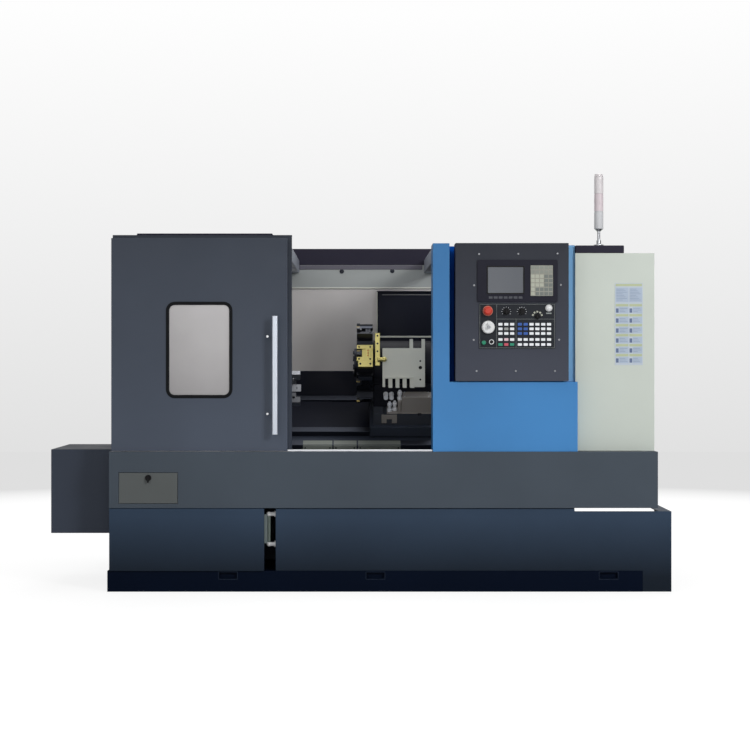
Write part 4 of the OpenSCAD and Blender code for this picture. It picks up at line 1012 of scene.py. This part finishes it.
# rear housing: seam strips and rows of screws; motor cover: louvres
rear = {"seams": (-0.78, -0.22, 0.34), "half": 0.016, "seamEnd": 0.03, "rise": 0.002, "screws": 12,
        "screwEnd": 0.04, "screwEdge": 0.018, "size": (0.0055, 0.0032, 16)}
rearLow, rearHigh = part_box("rear_housing")
face, half, end = rearHigh.y, rear["half"], rear["seamEnd"]
seams = [((x - half, face - 0.0005, rearLow.z + end), (x + half, face + rear["rise"], rearHigh.z - end))
         for x in rear["seams"]]
settle(blocksPiece(seams, 0.0008), "rearSeams", "guard", machineBody)
step = (rearHigh.x - rearLow.x - 2 * rear["screwEnd"]) / (rear["screws"] - 1)
across = [rearLow.x + rear["screwEnd"] + i * step for i in range(rear["screws"])]
levels = (rearLow.z + rear["screwEdge"], rearHigh.z - rear["screwEdge"])
places = [(x, face, z) for x in across for z in levels]
settle(screwsAt(places, aboutY, rear["size"]), "rearScrews", "zinc", machineBody)
motorLouvre = {"low": (-0.006, 0.1, 0.09), "high": (0.0005, 0.42, 0.099), "pitch": 0.024, "count": 8}
coverLow = Vector(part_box("motor_cover")[0])
slats = blockRows(coverLow + Vector(motorLouvre["low"]), coverLow + Vector(motorLouvre["high"]),
                  motorLouvre["pitch"], motorLouvre["count"])
settle(blocksPiece(slats, 0.0026), "motorLouvres", "guard", machineBody)
print("rear housing and motor cover fittings")

# door: foot plates of the handle with a bright screw each
handleFeet = {"low": (-0.597, -0.753, 0.843), "high": (-0.56, -0.7496, 0.867), "pitch": 0.372,
              "screws": [(-0.586, -0.753, 0.855), (-0.586, -0.753, 1.227)], "size": (0.0062, 0.0036)}
settle(blocksPiece(blockRows(handleFeet["low"], handleFeet["high"], handleFeet["pitch"], 2), 0.0012),
       "handleFeet", "door", "door")
settle(screwsAt(handleFeet["screws"], front, handleFeet["size"]), "handleScrews", "zinc", "door")
print("door handle feet")

# base: rims round the plinth's access windows, paler than the plinth as a painted highlight, plate behind the
# gauge, dark seal over the tank's rim, partly painted shade in the groove there
accessRim = {"centres": (-0.776, -0.067, 1.054), "half": 0.047, "z": (0.0585, 0.0965), "width": 0.0022,
             "rise": 0.0012}
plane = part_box("base_frame")[0].y
foot, top = accessRim["z"]
wide = accessRim["width"]
bars = []
for x in accessRim["centres"]:
    left, right = x - accessRim["half"], x + accessRim["half"]
    for x0, z0, x1, z1 in ((left, foot, right, foot + wide), (left, top - wide, right, top),
                           (left, foot, left + wide, top), (right - wide, foot, right, top)):
        bars.append(((x0, plane - accessRim["rise"], z0), (x1, plane + 0.0004, z1)))
# painted highlight: the rims are paler than the plinth
settle(blocksPiece(bars, 0.0004), "accessRims", "accessRimHighlight", machineBody)
gaugePlate = ((-0.6025, -0.7475, 0.232), (-0.586, -0.742, 0.372), 0.0012)
settle(blockPiece(*gaugePlate), "gaugePlate", "gaugePlate", machineBody)
# partly painted shade: the dark seal fills the groove over the tank's rim
rimSealShade = {"low": (0.62, 0.0004, 0.3996), "high": (0.8895, 0.0027, 0.4028)}
tankFront = Vector((0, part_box("coolant_tank")[0].y, 0))
settle(blockPiece(tankFront + Vector(rimSealShade["low"]), tankFront + Vector(rimSealShade["high"]), 0.0004),
       "rimSealShade", "gasket", machineBody)
print("base: access rims, gauge plate, rim seal")


# studio: pale floor that fades into a pale surround, soft lamps
studio = {
    "floorSize": 24, "farTone": 223, "whiteTo": 4.2, "fadeTo": 6.6, "bounce": 0.5, "glow": 1.65, "share": 0.5,
    "surround": 0.42, "lowTone": 223, "highTone": 254, "lowAt": -0.068, "highAt": 0.2,
    "lamps": [
        ("keyLamp", (3.8, -6.2, 3.6), 1.5, 205),
        ("fillLamp", (-3.8, -6.6, 3.4), 3.6, 58),
        ("frontLamp", (-0.2, -7.6, 1.9), 3.0, 52),
        ("topLamp", (0.0, 0.9, 6.0), 4.0, 120),
        ("backLamp", (0.5, 5.5, 4.2), 4.0, 80),
    ],
    "aim": (0.0, -0.3, 0.9),
}


def toneOf(value):
    return shade(value, value, value)


def seenRays(finish):
    rays = addNode(finish, "ShaderNodeLightPath")
    both = addNode(finish, "ShaderNodeMath", operation="MAXIMUM")
    wire(finish, rays, "Is Camera Ray", both, 0)
    wire(finish, rays, "Is Transmission Ray", both, 1)
    return both


# mixes two shaders by a share and sends the result to the end
def mixed(finish, share, first, second, ending):
    mixer = addNode(finish, "ShaderNodeMixShader")
    for count, source in enumerate((share, first, second)):
        wire(finish, source, 0, mixer, count)
    wire(finish, mixer, 0, ending, "Surface")


# where it is seen the floor glows white near the object, and keeps part of the shadow
def floorFinish():
    finish = newFinish("floorPaint", greyOf(studio["bounce"]), 0.8, specular=0.1)
    reach = 8.0
    where = addNode(finish, "ShaderNodeTexCoord")
    shrink = addNode(finish, "ShaderNodeMapping", Scale=(1 / reach, 1 / reach, 1 / reach))
    spread = addNode(finish, "ShaderNodeTexGradient", gradient_type="SPHERICAL")
    wire(finish, where, "Object", shrink, "Vector")
    wire(finish, shrink, "Vector", spread, "Vector")
    edges = (1 - studio["fadeTo"] / reach, 1 - studio["whiteTo"] / reach)
    tone = rampOn(finish, spread, [(edges[0], toneOf(studio["farTone"])), (edges[1], greyOf(studio["glow"]))])
    glowShare = rampOn(finish, spread, [(edges[0], greyOf(1.0)), (edges[1], greyOf(studio["share"]))])
    glow = addNode(finish, "ShaderNodeEmission")
    wire(finish, tone, "Color", glow, "Color")
    share = addNode(finish, "ShaderNodeMath", operation="MULTIPLY")
    wire(finish, seenRays(finish), 0, share, 0)
    wire(finish, glowShare, "Color", share, 1)
    mixed(finish, share, bodyOf(finish), glow, finish.node_tree.nodes["Material Output"])
    return finish


clearPick()
bpy.ops.mesh.primitive_plane_add(size=studio["floorSize"], location=(0, 0, 0))
floor = bpy.context.object
floor.name = "studioFloor"
floor.data.materials.append(floorFinish())

for lampName, place, size, power in studio["lamps"]:
    bpy.ops.object.light_add(type="AREA", location=place)
    lamp = bpy.context.object
    lamp.name = lampName
    lamp.data.size = size
    lamp.data.energy = power
    toward = Vector(studio["aim"]) - Vector(place)
    lamp.rotation_euler = toward.to_track_quat("-Z", "Y").to_euler()

# the surround lights evenly, and looks pale where it is seen
surround = bpy.data.worlds.new("studioSurround")
bpy.context.scene.world = surround
surround.use_nodes = True
surround.node_tree.nodes.clear()
height = addNode(surround, "ShaderNodeTexCoord")
split = addNode(surround, "ShaderNodeSeparateXYZ")
wire(surround, height, "Generated", split, "Vector")
lift = addNode(surround, "ShaderNodeMapRange", **{"From Min": studio["lowAt"], "From Max": studio["highAt"]})
wire(surround, split, "Z", lift, "Value")
sky = addNode(surround, "ShaderNodeValToRGB")
wire(surround, lift, "Result", sky, "Fac")
sky.color_ramp.elements[0].color = toneOf(studio["lowTone"])
sky.color_ramp.elements[1].color = toneOf(studio["highTone"])
even = addNode(surround, "ShaderNodeBackground", Color=greyOf(1.0), Strength=studio["surround"])
pale = addNode(surround, "ShaderNodeBackground")
wire(surround, sky, "Color", pale, "Color")
mixed(surround, seenRays(surround), even, pale, addNode(surround, "ShaderNodeOutputWorld"))
print("studio: floor, %d lamps, surround" % len(studio["lamps"]))
